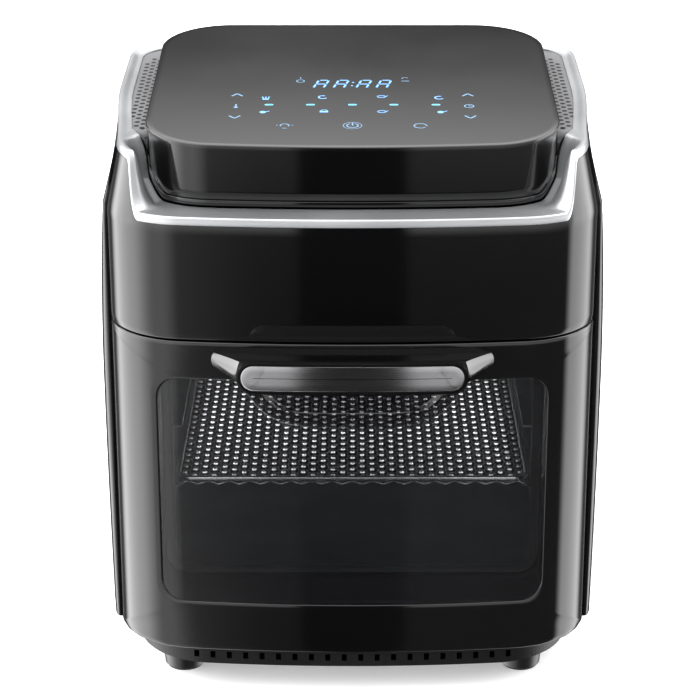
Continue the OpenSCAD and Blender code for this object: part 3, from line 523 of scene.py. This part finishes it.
def build_window():
    """Outer window with a soft edge, a little below the door's surface."""
    depth = 0.5 * MM
    rows = []
    steps = 16
    for i in range(steps + 1):
        u = i / steps
        shrink = 0.25 * MM + (WINDOW_R - 1 * MM) * u
        pts = round_rect(-WINDOW_S + shrink, WINDOW_S - shrink, WINDOW_Z[0] + shrink, WINDOW_Z[1] - shrink,
                         WINDOW_R - shrink * 0.98)
        rows.append([front_point(s, z, depth) for s, z in pts])
    place(grid("window_rim", rows, SMOKED, closed=True), "door", "glass_smoked", "outer_glass")
    edge = rows[-1]
    low, high = (min(p[2] for p in edge), max(p[2] for p in edge))
    s1 = WINDOW_S - (0.25 * MM + WINDOW_R - 1 * MM)
    nx, nz = 60, 24
    rows = [[front_point(-s1 + 2 * s1 * i / nx, low + (high - low) * k / nz, depth)
             for i in range(nx + 1)] for k in range(nz + 1)]
    place(grid("window_middle", rows, SMOKED), "door", "glass_smoked")


def build_upper_shell():
    """Front shell above the door, up to the silver band."""
    stations = front_stations(last=1.92)
    z0 = SHELL_LOW[2]

    def point(t, z, d):
        y = plan_point(SHELL, t)[1]
        return at(plan_point(inset(SHELL, d + lean(y, z)), t), z)

    rows = [[point(t, z0 + up * MM, d * MM) for t in stations]
            for d, up in ((2.2, 0.0), (1.0, 0.0), (0.3, 0.3), (0.0, 1.0))]
    levels = 24
    for i in range(1, levels + 1):
        row = []
        for t in stations:
            top = lip_height(t, plan_point(SHELL, t)[1]) - BAND_H
            row.append(point(t, z0 + MM + (top - z0 - MM) * i / levels, 0))
        rows.append(row)
    turn_in = Vector((2.4 * MM, 0, 0))
    rows = [[r[0] + turn_in] + r + [r[-1] - turn_in] for r in rows]
    skin = grid("upper_shell_skin", rows, GLOSS, sharp=50)
    return place(skin, "housing", "gloss_black", "front_upper_shell")


def cheek(f):
    """Share of the fall across the bezel: steep next to its edge, flat at the panel."""
    return ease((f - 0.12) / 0.62)


def build_bezel():
    """Silver frame: outer band, front lip, hollow cheeks and side bands."""
    stations = ring_stations()

    def edge(t):
        return lip_height(t, plan_point(SHELL, t)[1])

    def side(t, drop, d):
        y = plan_point(SHELL, t)[1]
        z = edge(t) - drop * MM
        return at(plan_point(inset(SHELL, d * MM + lean(y, z)), t), z)

    def across(t, f, drop=0.0):
        a = side(t, 0, 0.9)
        b = scoop_point(t)
        q = scoop_height(t, b[1])
        xy = Vector((a[0], a[1])).lerp(b, f)
        return at(xy, a[2] + (q - a[2]) * cheek(f) - drop * MM)

    band = BAND_H / MM
    rows = [[side(t, drop, d) for t in stations]
            for drop, d in ((band, 1.8), (band - 0.05, 0.15), (band - 0.4, 0), (0.9, 0), (0.3, 0.25))]
    steps = 22
    rows += [[across(t, i / steps) for t in stations] for i in range(steps + 1)]
    rows += [[across(t, 0.998, 0.8) for t in stations], [across(t, 0.97, 1.8) for t in stations]]
    bezel = grid("bezel_frame", rows, SILVER, closed=True, sharp=50)
    return place(bezel, "housing", "silver_frame", "top_bezel")


def shelf_height(y):
    return rim_height(y) - 3.0 * MM


def build_shelf(side, name, node):
    """Grey vent shelf beside the panel, dipping at its front end."""
    steps, across = 44, 6
    first, last = 1.86, 3.75
    inner_x = PANEL["hw"] - 1.5 * MM
    rows = []
    for i in range(steps + 1):
        x, y = scoop_point(first + (last - first) * i / steps)
        drop = 8 * MM * (1 - ease((y + 84 * MM) / (26 * MM)))
        rows.append([Vector((side * (x + (inner_x - x) * k / across), y,
                             shelf_height(y) - drop * k / across)) for k in range(across + 1)])
    place(grid(name, rows, GRILLE), "housing", "grille_grey", node)


def build_shelf_holes(side, name):
    """Three staggered columns of round holes, drawn as flat discs of painted shade; the outer column is
    shorter.
    """
    pitch, radius, sides = 7.4 * MM, 1.7 * MM, 14
    y0, y1 = -60 * MM, 92 * MM
    outer_y0, outer_y1 = -38 * MM, 78 * MM
    holes = bmesh.new()
    for row in range(int((y1 - y0) / pitch)):
        for column, x in enumerate((129.6 * MM, 133.4 * MM, 137.2 * MM)):
            y = y0 + pitch * (row + (0.5 if column == 1 else 0))
            if column == 2 and not outer_y0 <= y <= outer_y1:
                continue
            ring = []
            for k in range(sides):
                a = 2 * math.pi * k / sides
                px, py = x + radius * math.cos(a), y + radius * math.sin(a)
                ring.append(holes.verts.new((side * px, py, shelf_height(py) + 0.12 * MM)))
            holes.faces.new(ring)
    # The discs are painted shade laid on the shelf, not cut holes
    place(from_bmesh(name, holes, HOLE_SHADE, sharp=0), "housing", "grille_grey")


def build_shelves():
    for side, name, node in ((1, "vent_shelf_right", "right_vent_grille"),
                             (-1, "vent_shelf_left", "left_vent_grille")):
        build_shelf(side, name, node)
        build_shelf_holes(side, name + "_holes")


def panel_row(o, stations, drop):
    """Row along an outline, a distance below the panel's sloping surface."""
    points = [plan_point(o, t) for t in stations]
    return [at(p, panel_height(p[1]) - drop) for p in points]


def build_fascia():
    """Gloss walls of the control panel, with a small groove above their foot."""
    stations = ring_stations()

    def low(t):
        p = plan_point(PANEL, t)
        return scoop_height(t, p[1]) + 1 * MM if abs(t) < 1.78 else 336 * MM

    # Inset and height above the foot, in millimetres
    profile = ((2.4, 0), (0.3, 0), (0, 0.4), (0, 3.0), (0.25, 3.3), (0.9, 3.35), (0.9, 3.8), (0.7, 4.0))
    rows = [[at(plan_point(inset(PANEL, d * MM), t), low(t) + rise * MM) for t in stations]
            for d, rise in profile]
    wall = inset(PANEL, 0.7 * MM)
    top = panel_row(wall, stations, 2.6 * MM)
    levels = 6
    for i in range(1, levels + 1):
        row = []
        for t, p in zip(stations, top):
            z0 = low(t) + 4 * MM
            row.append(at(p, z0 + (p[2] - z0) * i / levels))
        rows.append(row)
    fascia = grid("panel_fascia", rows, GLOSS, closed=True, sharp=50)
    place(fascia, "housing", "gloss_black", "panel_housing")


def build_touch_surface():
    """Sloping touch surface with a soft edge."""
    stations = ring_stations()
    fillet = 0.7 * MM
    rows = []
    for d in (0.9, 0.0):
        o = inset(PANEL, d * MM)
        rows.append([at(plan_point(o, t), panel_height(plan_point(PANEL, t)[1]) - 2.5 * MM)
                     for t in stations])
    for k in range(7):
        a = math.radians(15 * k)
        o = inset(PANEL, fillet * (1 - math.cos(a)))
        rows.append(panel_row(o, stations, fillet * (1 - math.sin(a))))
    for i in range(1, 13):
        rows.append(panel_row(inset(PANEL, fillet + 40 * MM * i / 12), stations, 0))
    surface = grid("touch_surface", rows, PANEL_GLOSS, closed=True, cap_last=True, sharp=60)
    place(surface, "housing", "panel_gloss", "panel_glass")


COVER_SEAM_Y = COVER_LOW[1]
COVER_REAR_Y = 168 * MM
COVER_RETURN = 116 * MM
COVER_CORNER = 32 * MM
SHOULDER_Y = 116 * MM
SHOULDER_Z = 330 * MM
SWELL_Z = 200 * MM
FLARE = 14 * MM
COVER_HW = 157 * MM
TUCK_UP = 7 * MM
TUCK_DOWN = 1.8 * MM


def cover_half_width(z):
    """Half width of the covers: widest at the swell, tucked in above and below it."""
    up = max(z - SWELL_Z, 0) / (150 * MM)
    down = max(SWELL_Z - z, 0) / (170 * MM)
    return COVER_HW - TUCK_UP * up * up - TUCK_DOWN * down * down


def cover_plan(z, back):
    """Plan of a side cover at a height: flare behind the seam, side, rear corner, return."""
    hw = cover_half_width(z)
    start = SHELL["hw"] + 1.2 * MM
    points = []
    for k in range(12):
        a = math.radians(90 * k / 12)
        points.append((start + (hw - start) * math.sin(a), COVER_SEAM_Y + FLARE * (1 - math.cos(a))))
    first = COVER_SEAM_Y + FLARE
    straight = back - COVER_CORNER - first
    points += [(hw, first + straight * k / 30) for k in range(31)]
    for k in range(1, 25):
        a = math.radians(90 * k / 24)
        points.append((hw - COVER_CORNER * (1 - math.cos(a)), back - COVER_CORNER * (1 - math.sin(a))))
    return points + [(COVER_RETURN, back)]


def build_side_cover(side, name, node):
    """Side cover with its gentle swell, curved rear corner and rounded shoulder."""
    z0 = COVER_LOW[2]
    rim_line = cover_plan(RIM_Z, SHOULDER_Y)

    def row(share, turn):
        back = SHOULDER_Y + (COVER_REAR_Y - SHOULDER_Y) * math.cos(turn)
        points = []
        for j, (_, y) in enumerate(rim_line):
            top = rim_height(y) - BAND_H
            if turn:
                z = SHOULDER_Z + (top - SHOULDER_Z) * math.sin(turn)
            else:
                z = z0 + (SHOULDER_Z - z0) * share
            x, depth = cover_plan(z, back)[j]
            points.append(Vector((side * (x - lean(depth, z)), depth, z)))
        return points

    rows = [row(i / 30, 0) for i in range(31)]
    rows += [row(1, math.radians(90 * i / 14)) for i in range(1, 15)]
    low = rows[0]
    foot = [Vector((p.x - side * 1.2 * MM, p.y, p.z)) for p in low]
    lifted = [Vector((p.x, p.y, p.z + 0.8 * MM)) for p in low]
    rows = [foot, [Vector((p.x - side * 0.3 * MM, p.y, p.z)) for p in low], lifted] + rows[1:]
    rows.append([Vector((p.x - side * 2.4 * MM, p.y, p.z)) for p in rows[-1]])
    rows = [[Vector((r[0].x - side * 2.2 * MM, r[0].y + 0.3 * MM, r[0].z))] + r for r in rows]
    return place(grid(name, rows, SIDE, sharp=50), "housing", "gloss_black", node)


# ---------------------------------------------------------------------------
# Handle
# ---------------------------------------------------------------------------
HANDLE_Z = (INSERT_LOW[2] + INSERT_HIGH[2]) / 2
HANDLE_HALF = (HANDLE_HIGH[2] - HANDLE_LOW[2]) / 2
BAR_HW = INSERT_HIGH[0] + 2 * MM
ROOT_HW = 86 * MM
ARM_FALL = 7 * MM
ARM_RISE = 4 * MM
RIM_EDGE = 0.8 * MM
PLATE_TILT = 0.07


def surface_y(x):
    """Depth of the door's front face at a distance x from the middle."""
    return front_point(math.copysign(s_at(abs(x)), x), 0)[1]


def bar_bow(x):
    """How far the front of the bar has curved back at a distance from the middle."""
    return x * x / (2 * BOW_R)


def stadium(hw, z0, z1, r=None, n=20, straight=24):
    """Outline with round ends in x and z, starting along the lower edge."""
    r = (z1 - z0) / 2 if r is None else r
    half = hw - r
    right = []
    for i in range(n + 1):
        a = math.radians(-90 + 180 * i / n)
        centre = z0 + r + (z1 - z0 - 2 * r) * i / n
        right.append((half + r * math.cos(a), centre + r * math.sin(a)))
    low = [(-half + 2 * half * i / straight, z0) for i in range(1, straight)]
    high = [(half - 2 * half * i / straight, z1) for i in range(1, straight)]
    left = [(-x, z0 + z1 - z) for x, z in right]
    return low + right + high + left


def build_handle():
    """Black bar with a rounded front rim, arms that flare back to the door, and a finger hollow."""
    front = HANDLE_LOW[1] + 0.3 * MM
    low, high = HANDLE_Z - HANDLE_HALF, HANDLE_Z + HANDLE_HALF
    bar_u = 0.36
    flare_u = 0.40

    def ring(u, shrink=0.0, back=0.0, hollow=False):
        flare = max((u - flare_u) / (1 - flare_u), 0)
        hw = BAR_HW + (ROOT_HW - BAR_HW) * flare ** 1.15 - shrink
        z0 = low + ARM_RISE * ease(flare) + shrink
        z1 = high - ARM_FALL * (0.6 * ease(u / flare_u) + 0.4 * u) - shrink
        half = (z1 - z0) / 2
        row = []
        for x, z in stadium(hw, z0, z1, half - (half - 1.6 * MM) * ease(u / 0.35)):
            if hollow and z < z0 + 0.1 * MM and abs(x) < BAR_HW - 12 * MM:
                z = z1 - 5 * MM
            y = front + bar_bow(x) + back
            row.append(Vector((x, y + (surface_y(x) + 1 * MM - y) * u, z)))
        return row

    rows = [ring(0, 2.4 * MM, 2.0 * MM), ring(0, 2.1 * MM, 0.1 * MM), ring(0, RIM_EDGE)]
    for k in range(1, 6):
        a = math.radians(18 * k)
        rows.append(ring(0, RIM_EDGE * (1 - math.sin(a)), RIM_EDGE * (1 - math.cos(a))))
    rows += [ring(0), ring(0.03)]
    place(grid("handle_rim", rows, RIM_BLACK, closed=True, sharp=50), "door", "gloss_black")
    rows = [ring(u) for u in (0.03, 0.08, 0.14, 0.2, 0.26, 0.32, bar_u)]
    rows += [ring(bar_u + (1 - bar_u) * k / 16, hollow=True) for k in range(17)]
    bar = grid("handle_bar", rows, HANDLE_GLOSS, closed=True, sharp=50)
    return place(bar, "door", "gloss_black", "handle_body")


def build_insert():
    """Brushed plate let into the front of the bar, with a crowned face."""
    front = INSERT_LOW[1]
    hw, z0, z1 = INSERT_HIGH[0], INSERT_LOW[2], INSERT_HIGH[2]

    rows = []
    for d, depth in ((0.0, 1.2), (0.0, 0.5), (0.15, 0.2), (0.5, 0.05), (0.9, 0.0), (4.0, 0.0), (7.6, 0.0)):
        rows.append([Vector((x, front + depth * MM + bar_bow(x) + PLATE_TILT * (z - z0), z))
                     for x, z in stadium(hw - d * MM, z0 + d * MM, z1 - d * MM)])
    plate = grid("handle_plate", rows, BRUSHED, closed=True, sharp=50)
    return place(plate, "door", "brushed_silver", "handle_insert")


def build_guard():
    """Smoked half-moon guard under the bar, with a raised rim along its curved edge."""
    half = 70 * MM
    z1 = GUARD_HIGH[2]
    drop = z1 - GUARD_LOW[2]
    rim_w = 8 * MM
    n, m = 96, 24

    def lower(x):
        return z1 - drop * (1 - min(abs(x) / half, 1) ** 5)

    def proud(distance):
        """Height above the door at a distance from the curved edge."""
        if distance < 1.2 * MM:
            return 0.6 * MM + 1.6 * MM * math.sin(math.pi / 2 * distance / (1.2 * MM))
        if distance < rim_w:
            return 2.2 * MM
        return 2.2 * MM - 1.5 * MM * ease((distance - rim_w) / (3.5 * MM))

    edge = [Vector((half * (-1 + 2 * i / n), lower(half * (-1 + 2 * i / n)))) for i in range(n + 1)]
    rows = []
    for k in range(m + 1):
        row = []
        for point in edge:
            x, z = point.x, z1 + (point.y - z1) * k / m
            distance = min((Vector((x, z)) - q).length for q in edge)
            row.append(Vector((x, surface_y(x) - proud(distance), z)))
        rows.append(row)
    plate = grid("guard_plate", rows, GUARD, sharp=60)
    return place(plate, "door", "smoked_plastic", "finger_guard")


# ---------------------------------------------------------------------------
# Rack
# ---------------------------------------------------------------------------
def tube(name, points, radius, closed=False):
    """Plated round wire through points."""
    curve = bpy.data.curves.new(name, "CURVE")
    curve.dimensions = "3D"
    curve.bevel_depth = radius
    curve.bevel_resolution = 4
    curve.use_fill_caps = True
    spline = curve.splines.new("POLY")
    spline.points.add(len(points) - 1)
    for q, p in zip(spline.points, points):
        q.co = (*p, 1)
    spline.use_cyclic_u = closed
    obj = bpy.data.objects.new(name, curve)
    bpy.context.scene.collection.objects.link(obj)
    curve.materials.append(CHROME)
    return place(obj, "housing", "wire_chrome")


def build_rack():
    """Mesh rack: perforated sheet with a raised rim round each hole, the rims coloured much lighter than
    the sheet as a painted highlight, in a wire frame.
    """
    pitch, row_pitch = 6.35 * MM, 9.6 * MM
    hole = 1.0 * MM
    sheet_z = (RACK_HIGH[2] + RACK_LOW[2]) / 2 + 1.2 * MM
    wire = 2 * MM
    x_max, y0, y1 = RACK_HIGH[0] - wire, RACK_LOW[1] + wire, RACK_HIGH[1] - wire
    columns = int(x_max / pitch)
    rows = int((y1 - y0) / row_pitch)
    sides = 8
    sheet, rims = bmesh.new(), bmesh.new()

    def cell(cx, cy):
        def spot(bm, radius, a, lift=0.0):
            return bm.verts.new((cx + radius * math.cos(a), cy + radius * math.sin(a), sheet_z + lift))

        corners, ring_low, ring_high, ring_out = [], [], [], []
        for k in range(sides):
            a = 2 * math.pi * (k + 0.5) / sides
            reach = 1 / max(abs(math.cos(a)) / (pitch / 2), abs(math.sin(a)) / (row_pitch / 2))
            corners.append(spot(sheet, reach, a))
            ring_low.append(spot(sheet, hole, a))
            ring_out.append(spot(rims, 1.5 * hole, a))
            ring_high.append(spot(rims, hole, a, 0.7 * MM))
        for k in range(sides):
            j = (k + 1) % sides
            sheet.faces.new((corners[k], corners[j], ring_low[j], ring_low[k]))
            rims.faces.new((ring_out[k], ring_out[j], ring_high[j], ring_high[k]))

    for c in range(-columns, columns + 1):
        for r in range(rows):
            cy = y0 + row_pitch * (r + 0.5 + (0.5 if c % 2 else 0))
            if cy + row_pitch / 2 <= y1:
                cell(c * pitch, cy)
    panel = from_bmesh("rack_mesh", sheet, RACK_SHEET, sharp=0)
    solidify(panel, 0.6 * MM)
    place(panel, "housing", "wire_chrome", "mesh_rack")
    place(from_bmesh("rack_rims_painted_glint", rims, RIM_GLINT, sharp=0), "housing", "wire_chrome")

    frame_r = 8 * MM
    corners = round_rect(-x_max, x_max, y0, y1, frame_r, 4, 6)
    tube("rack_frame", [(x, y, sheet_z) for x, y in corners], wire * 0.95, True)
    zig_pitch = 12.7 * MM
    zig_n = int(2 * x_max / zig_pitch) * 2
    zigzag = [(-x_max + 2 * x_max * i / zig_n, y0 + 1 * MM, sheet_z - (2.2 if i % 2 else 4.6) * MM)
              for i in range(zig_n + 1)]
    tube("rack_lattice", zigzag, 0.6 * MM)
    for side in (-1, 1):
        for y in (-62 * MM, 90 * MM):
            x = side * (x_max - 1.5 * MM)
            tube(f"rack_leg_{'l' if side < 0 else 'r'}_{'f' if y < 0 else 'b'}",
                 [(x, y, sheet_z), (x, y, RACK_LOW[2])], 1.4 * MM)


# ---------------------------------------------------------------------------
# Display and symbols
# ---------------------------------------------------------------------------
SYMBOL_LIFT = 0.04 * MM


def panel_at(x, y):
    return Vector((x, y, panel_height(y) + SYMBOL_LIFT))


def flat_shape(bm, points):
    bm.faces.new([bm.verts.new(panel_at(x, y)) for x, y in points])


def bar(bm, a, b, width):
    a, b = Vector(a), Vector(b)
    d = (b - a).normalized()
    side = Vector((-d.y, d.x)) * width / 2
    flat_shape(bm, [a - side, b - side, b + side, a + side])


def arc(bm, centre, r, a0, a1, width, n=20):
    for i in range(n):
        u, v = (math.radians(a0 + (a1 - a0) * k / n) for k in (i, i + 1))
        inner, outer = r - width / 2, r + width / 2
        cx, cy = centre
        flat_shape(bm, [(cx + inner * math.cos(u), cy + inner * math.sin(u)),
                        (cx + outer * math.cos(u), cy + outer * math.sin(u)),
                        (cx + outer * math.cos(v), cy + outer * math.sin(v)),
                        (cx + inner * math.cos(v), cy + inner * math.sin(v))])


def disc(bm, centre, r, n=20):
    cx, cy = centre
    turns = [2 * math.pi * k / n for k in range(n)]
    flat_shape(bm, [(cx + r * math.cos(a), cy + r * math.sin(a)) for a in turns])


def symbols(name, material, draw):
    bm = bmesh.new()
    draw(bm)
    obj = from_bmesh(name, bm, material, sharp=0)
    return place(obj, "housing", "panel_gloss")


def digit(bm, cx, cy, w, h, segments):
    """Seven-segment figure: top, upper right, lower right, bottom, lower left, upper left, middle."""
    slant = 0.12 * h
    x0, x1 = cx - w / 2, cx + w / 2
    top, mid, low = cy + h / 2, cy, cy - h / 2

    def slanted(x, y):
        return (x + slant * (y - cy) / (h / 2), y)

    ends = [((x0, top), (x1, top)), ((x1, top), (x1, mid)), ((x1, mid), (x1, low)), ((x0, low), (x1, low)),
            ((x0, mid), (x0, low)), ((x0, top), (x0, mid)), ((x0, mid), (x1, mid))]
    for lit, (a, b) in zip(segments, ends):
        if lit:
            a, b = Vector(slanted(*a)), Vector(slanted(*b))
            gap = (b - a) * 0.12
            bar(bm, a + gap, b - gap, 1.3 * MM)


DISPLAY_Y = -12 * MM
EIGHT_OPEN_BELOW = (1, 1, 1, 0, 1, 1, 1)


def draw_display(bm):
    for x in (-19.8, -7.2, 7.2, 19.8):
        digit(bm, x * MM, DISPLAY_Y, 6.4 * MM, 14 * MM, EIGHT_OPEN_BELOW)
    for dy in (-3, 3):
        disc(bm, (dy * 0.12 * MM, DISPLAY_Y + dy * MM), 0.8 * MM, 10)


def chevron(bm, x, y, up):
    tip = 2.2 * MM * up
    bar(bm, (x - 3.4 * MM, y - tip), (x, y + tip), 1.2 * MM)
    bar(bm, (x, y + tip), (x + 3.4 * MM, y - tip), 1.2 * MM)


def draw_pale(bm):
    """Chevrons, clock, thermometer, lamp, power and rotation symbols."""
    for x in (-72, 72):
        chevron(bm, x * MM, -32 * MM, 1)
        chevron(bm, x * MM, -71 * MM, -1)
    clock_x, clock_y = 72 * MM, -52 * MM
    arc(bm, (clock_x, clock_y), 2.8 * MM, 0, 360, 0.8 * MM)
    bar(bm, (clock_x, clock_y), (clock_x, clock_y + 2 * MM), 0.6 * MM)
    bar(bm, (clock_x, clock_y), (clock_x + 1.6 * MM, clock_y), 0.8 * MM)
    bar(bm, (-72 * MM, -53 * MM), (-72 * MM, -48.5 * MM), 1.0 * MM)
    disc(bm, (-72 * MM, -54 * MM), 1.4 * MM)
    arc(bm, (-33 * MM, -6.5 * MM), 2.4 * MM, 0, 360, 0.7 * MM)
    bar(bm, (-33 * MM, -2 * MM), (-33 * MM, 0.5 * MM), 0.6 * MM)
    bar(bm, (31 * MM, -6.5 * MM), (36 * MM, -6.5 * MM), 0.9 * MM)
    arc(bm, (33.4 * MM, -1.6 * MM), 1.8 * MM, 20, 200, 0.6 * MM, 10)
    arc(bm, (0, -85.6 * MM), 3.4 * MM, 115, 425, 0.9 * MM)
    bar(bm, (0, -85.6 * MM), (0, -80.6 * MM), 0.9 * MM)
    arc(bm, (0, -85.6 * MM), 5.6 * MM, 0, 360, 0.5 * MM, 30)
    arc(bm, (41 * MM, -86 * MM), 3.8 * MM, 40, 320, 0.8 * MM)
    bar(bm, (43.8 * MM, -83.4 * MM), (45.2 * MM, -86.4 * MM), 0.8 * MM)
    arc(bm, (-41 * MM, -85.4 * MM), 2.6 * MM, -30, 210, 0.8 * MM)
    bar(bm, (-42.2 * MM, -90 * MM), (-39.8 * MM, -90 * MM), 0.9 * MM)
    for dx in (-5.2, 5.2):
        bar(bm, ((-41 + dx) * MM, -85 * MM), ((-41 + dx * 0.8) * MM, -85 * MM), 0.8 * MM)


def pictogram(bm, x, y, kind):
    """Small generic food pictograms made of arcs and bars."""
    if kind == "fish":
        arc(bm, (x, y - 1.2 * MM), 3 * MM, 30, 150, 0.8 * MM, 10)
        arc(bm, (x, y + 1.2 * MM), 3 * MM, 210, 330, 0.8 * MM, 10)
        bar(bm, (x + 2.4 * MM, y), (x + 4 * MM, y + 1.4 * MM), 0.7 * MM)
    elif kind == "fries":
        for dx in (-1.6, 0, 1.6):
            bar(bm, (x + dx * MM, y - 0.4 * MM), (x + dx * 1.3 * MM, y + 2.8 * MM), 0.8 * MM)
        bar(bm, (x - 2 * MM, y - 1.6 * MM), (x + 2 * MM, y - 1.6 * MM), 2 * MM)
    elif kind == "leg":
        disc(bm, (x - 1 * MM, y), 2 * MM)
        bar(bm, (x, y), (x + 3.2 * MM, y + 2 * MM), 0.8 * MM)
    elif kind == "cake":
        bar(bm, (x - 2.6 * MM, y - 0.8 * MM), (x + 2.6 * MM, y - 0.8 * MM), 2.4 * MM)
        arc(bm, (x, y + 0.4 * MM), 2 * MM, 0, 180, 0.7 * MM, 10)
    else:
        arc(bm, (x, y), 2.6 * MM, 60, 330, 1.0 * MM, 14)


def draw_blue(bm):
    for x, y, kind in ((-54, -38, "fries"), (-54, -62.5, "leg"), (-18.5, -36, "ring"), (-17.5, -61, "cake"),
                       (18, -35, "fish"), (18, -61.6, "fish"), (54, -37, "ring"), (55, -62.5, "leg")):
        pictogram(bm, x * MM, y * MM, kind)


def draw_dots(bm):
    for x in (-51.6, -26, 0, 25.6, 51.6):
        bar(bm, ((x - 1.5) * MM, -49.5 * MM), ((x + 1.5) * MM, -49.5 * MM), 2.6 * MM)
        for end in (-1.5, 1.5):
            disc(bm, ((x + end) * MM, -49.5 * MM), 1.3 * MM, 12)


# ---------------------------------------------------------------------------
# Stage, light and camera
# ---------------------------------------------------------------------------
def area_light(name, location, target, size, energy):
    light = bpy.data.lights.new(name, "AREA")
    light.shape = "RECTANGLE"
    light.size, light.size_y = size
    light.energy = energy
    obj = bpy.data.objects.new(name, light)
    bpy.context.scene.collection.objects.link(obj)
    obj.location = location
    direction = Vector(target) - Vector(location)
    obj.rotation_euler = direction.to_track_quat("-Z", "Y").to_euler()
    return obj


def world_value(tree, operation, a, b=None):
    node = tree.nodes.new("ShaderNodeMath")
    node.operation = operation
    for socket, value in zip(node.inputs, (a, b)):
        if value is None:
            continue
        if isinstance(value, (int, float)):
            socket.default_value = value
        else:
            tree.links.new(value, socket)
    return node.outputs[0]


def soft_step(tree, value, start, end, low, high):
    node = tree.nodes.new("ShaderNodeMapRange")
    node.interpolation_type = "SMOOTHSTEP"
    for key, number in (("From Min", start), ("From Max", end), ("To Min", low), ("To Max", high)):
        node.inputs[key].default_value = number
    tree.links.new(value, node.inputs["Value"])
    return node.outputs["Result"]


def build_world():
    """Studio room: bright ceiling, tall side lights, two low front panels with a gap, pale backdrop."""
    world = bpy.data.worlds.new("studio")
    bpy.context.scene.world = world
    world.use_nodes = True
    tree = world.node_tree
    coords = tree.nodes.new("ShaderNodeTexCoord")
    split = tree.nodes.new("ShaderNodeSeparateXYZ")
    tree.links.new(coords.outputs["Generated"], split.inputs[0])
    x, y, z = split.outputs
    azimuth = world_value(tree, "ARCTAN2", x, world_value(tree, "MULTIPLY", y, -1))
    left = world_value(tree, "MULTIPLY", azimuth, -1)
    ceiling = soft_step(tree, z, 0.41, 0.51, 0.0, 2.3)
    left_near = soft_step(tree, left, 0.12, 0.75, 0.0, 1.6)
    left_far = soft_step(tree, left, 0.9, 1.5, 0.0, 3.0)
    right_far = soft_step(tree, azimuth, 1.3, 1.55, 0.0, 3.6)
    sides = world_value(tree, "ADD", world_value(tree, "ADD", left_near, left_far), right_far)
    wide = world_value(tree, "ABSOLUTE", azimuth)
    behind = soft_step(tree, wide, 2.1, 2.45, 1.0, 0.03)
    sides = world_value(tree, "MULTIPLY", sides, behind)
    band = world_value(tree, "MULTIPLY", soft_step(tree, z, -0.32, -0.1, 0.08, 1.0),
                       soft_step(tree, z, 0.2, 0.34, 1.0, 0.0))
    panels = world_value(tree, "MULTIPLY", soft_step(tree, wide, 0.085, 0.11, 0.0, 1.4), band)
    panels = world_value(tree, "MULTIPLY", panels, behind)
    total = world_value(tree, "ADD", world_value(tree, "ADD", ceiling, sides), panels)
    total = world_value(tree, "ADD", total, 0.03)
    path = tree.nodes.new("ShaderNodeLightPath")
    mix = tree.nodes.new("ShaderNodeMix")
    tree.links.new(path.outputs["Is Camera Ray"], mix.inputs["Factor"])
    tree.links.new(total, mix.inputs["A"])
    mix.inputs["B"].default_value = 1.0
    tree.links.new(mix.outputs["Result"], tree.nodes["Background"].inputs["Strength"])
    tree.nodes["Background"].inputs["Color"].default_value = (1, 1, 1, 1)


def build_stage():
    bm = bmesh.new()
    reach = 6.0
    corners = [(-reach, -reach, 0), (reach, -reach, 0), (reach, reach, 0), (-reach, reach, 0)]
    bm.faces.new([bm.verts.new(c) for c in corners])
    mat, tree, shader = base_material("floor_paper", (0.9, 0.9, 0.9), 0.8)
    shader.inputs["Emission Color"].default_value = (1, 1, 1, 1)
    shader.inputs["Emission Strength"].default_value = 0.35
    vary(tree, shader, noise(tree, 3, 2), "Roughness", 0.75, 0.85)
    floor = from_bmesh("floor", bm, mat, sharp=0)
    floor.visible_glossy = False
    build_world()
    for name, x in (("oven_light_right", 0.118), ("oven_light_left", -0.118)):
        light = area_light(name, (x, -0.02, 0.215), (0, -0.02, 0.10), (0.16, 0.02), 2.2)
        light.visible_glossy = False
    bpy.context.scene.view_settings.view_transform = "Standard"


FOCAL_PX = 2260
IMAGE_PX = 700
SENSOR = 36
CAMERA_DISTANCE = 1.505
CAMERA_PITCH = math.radians(20.1)
CAMERA_TARGET_Z = 0.1819
SHIFT_PX = -2.5


def build_camera():
    data = bpy.data.cameras.new("camera")
    data.sensor_width = SENSOR
    data.lens = FOCAL_PX / IMAGE_PX * SENSOR
    data.shift_x = SHIFT_PX / IMAGE_PX
    obj = bpy.data.objects.new("camera", data)
    bpy.context.scene.collection.objects.link(obj)
    obj.location = (0, -CAMERA_DISTANCE * math.cos(CAMERA_PITCH),
                    CAMERA_TARGET_Z + CAMERA_DISTANCE * math.sin(CAMERA_PITCH))
    obj.rotation_euler = (math.pi / 2 - CAMERA_PITCH, 0, 0)
    bpy.context.scene.camera = obj


def main():
    build_camera()
    build_stage()
    dress_nodes()
    build_door_skin()
    build_door_shelves()
    build_window()
    build_upper_shell()
    build_bezel()
    build_shelves()
    build_fascia()
    build_touch_surface()
    build_side_cover(1, "cover_skin_right", "right_side_cover")
    build_side_cover(-1, "cover_skin_left", "left_side_cover")
    build_handle()
    build_insert()
    build_guard()
    build_rack()
    symbols("display_digits", BLUE, draw_display)
    symbols("symbols_pale", PALE, draw_pale)
    symbols("symbols_blue", BLUE, draw_blue)
    symbols("indicator_dots", CYAN, draw_dots)


main()
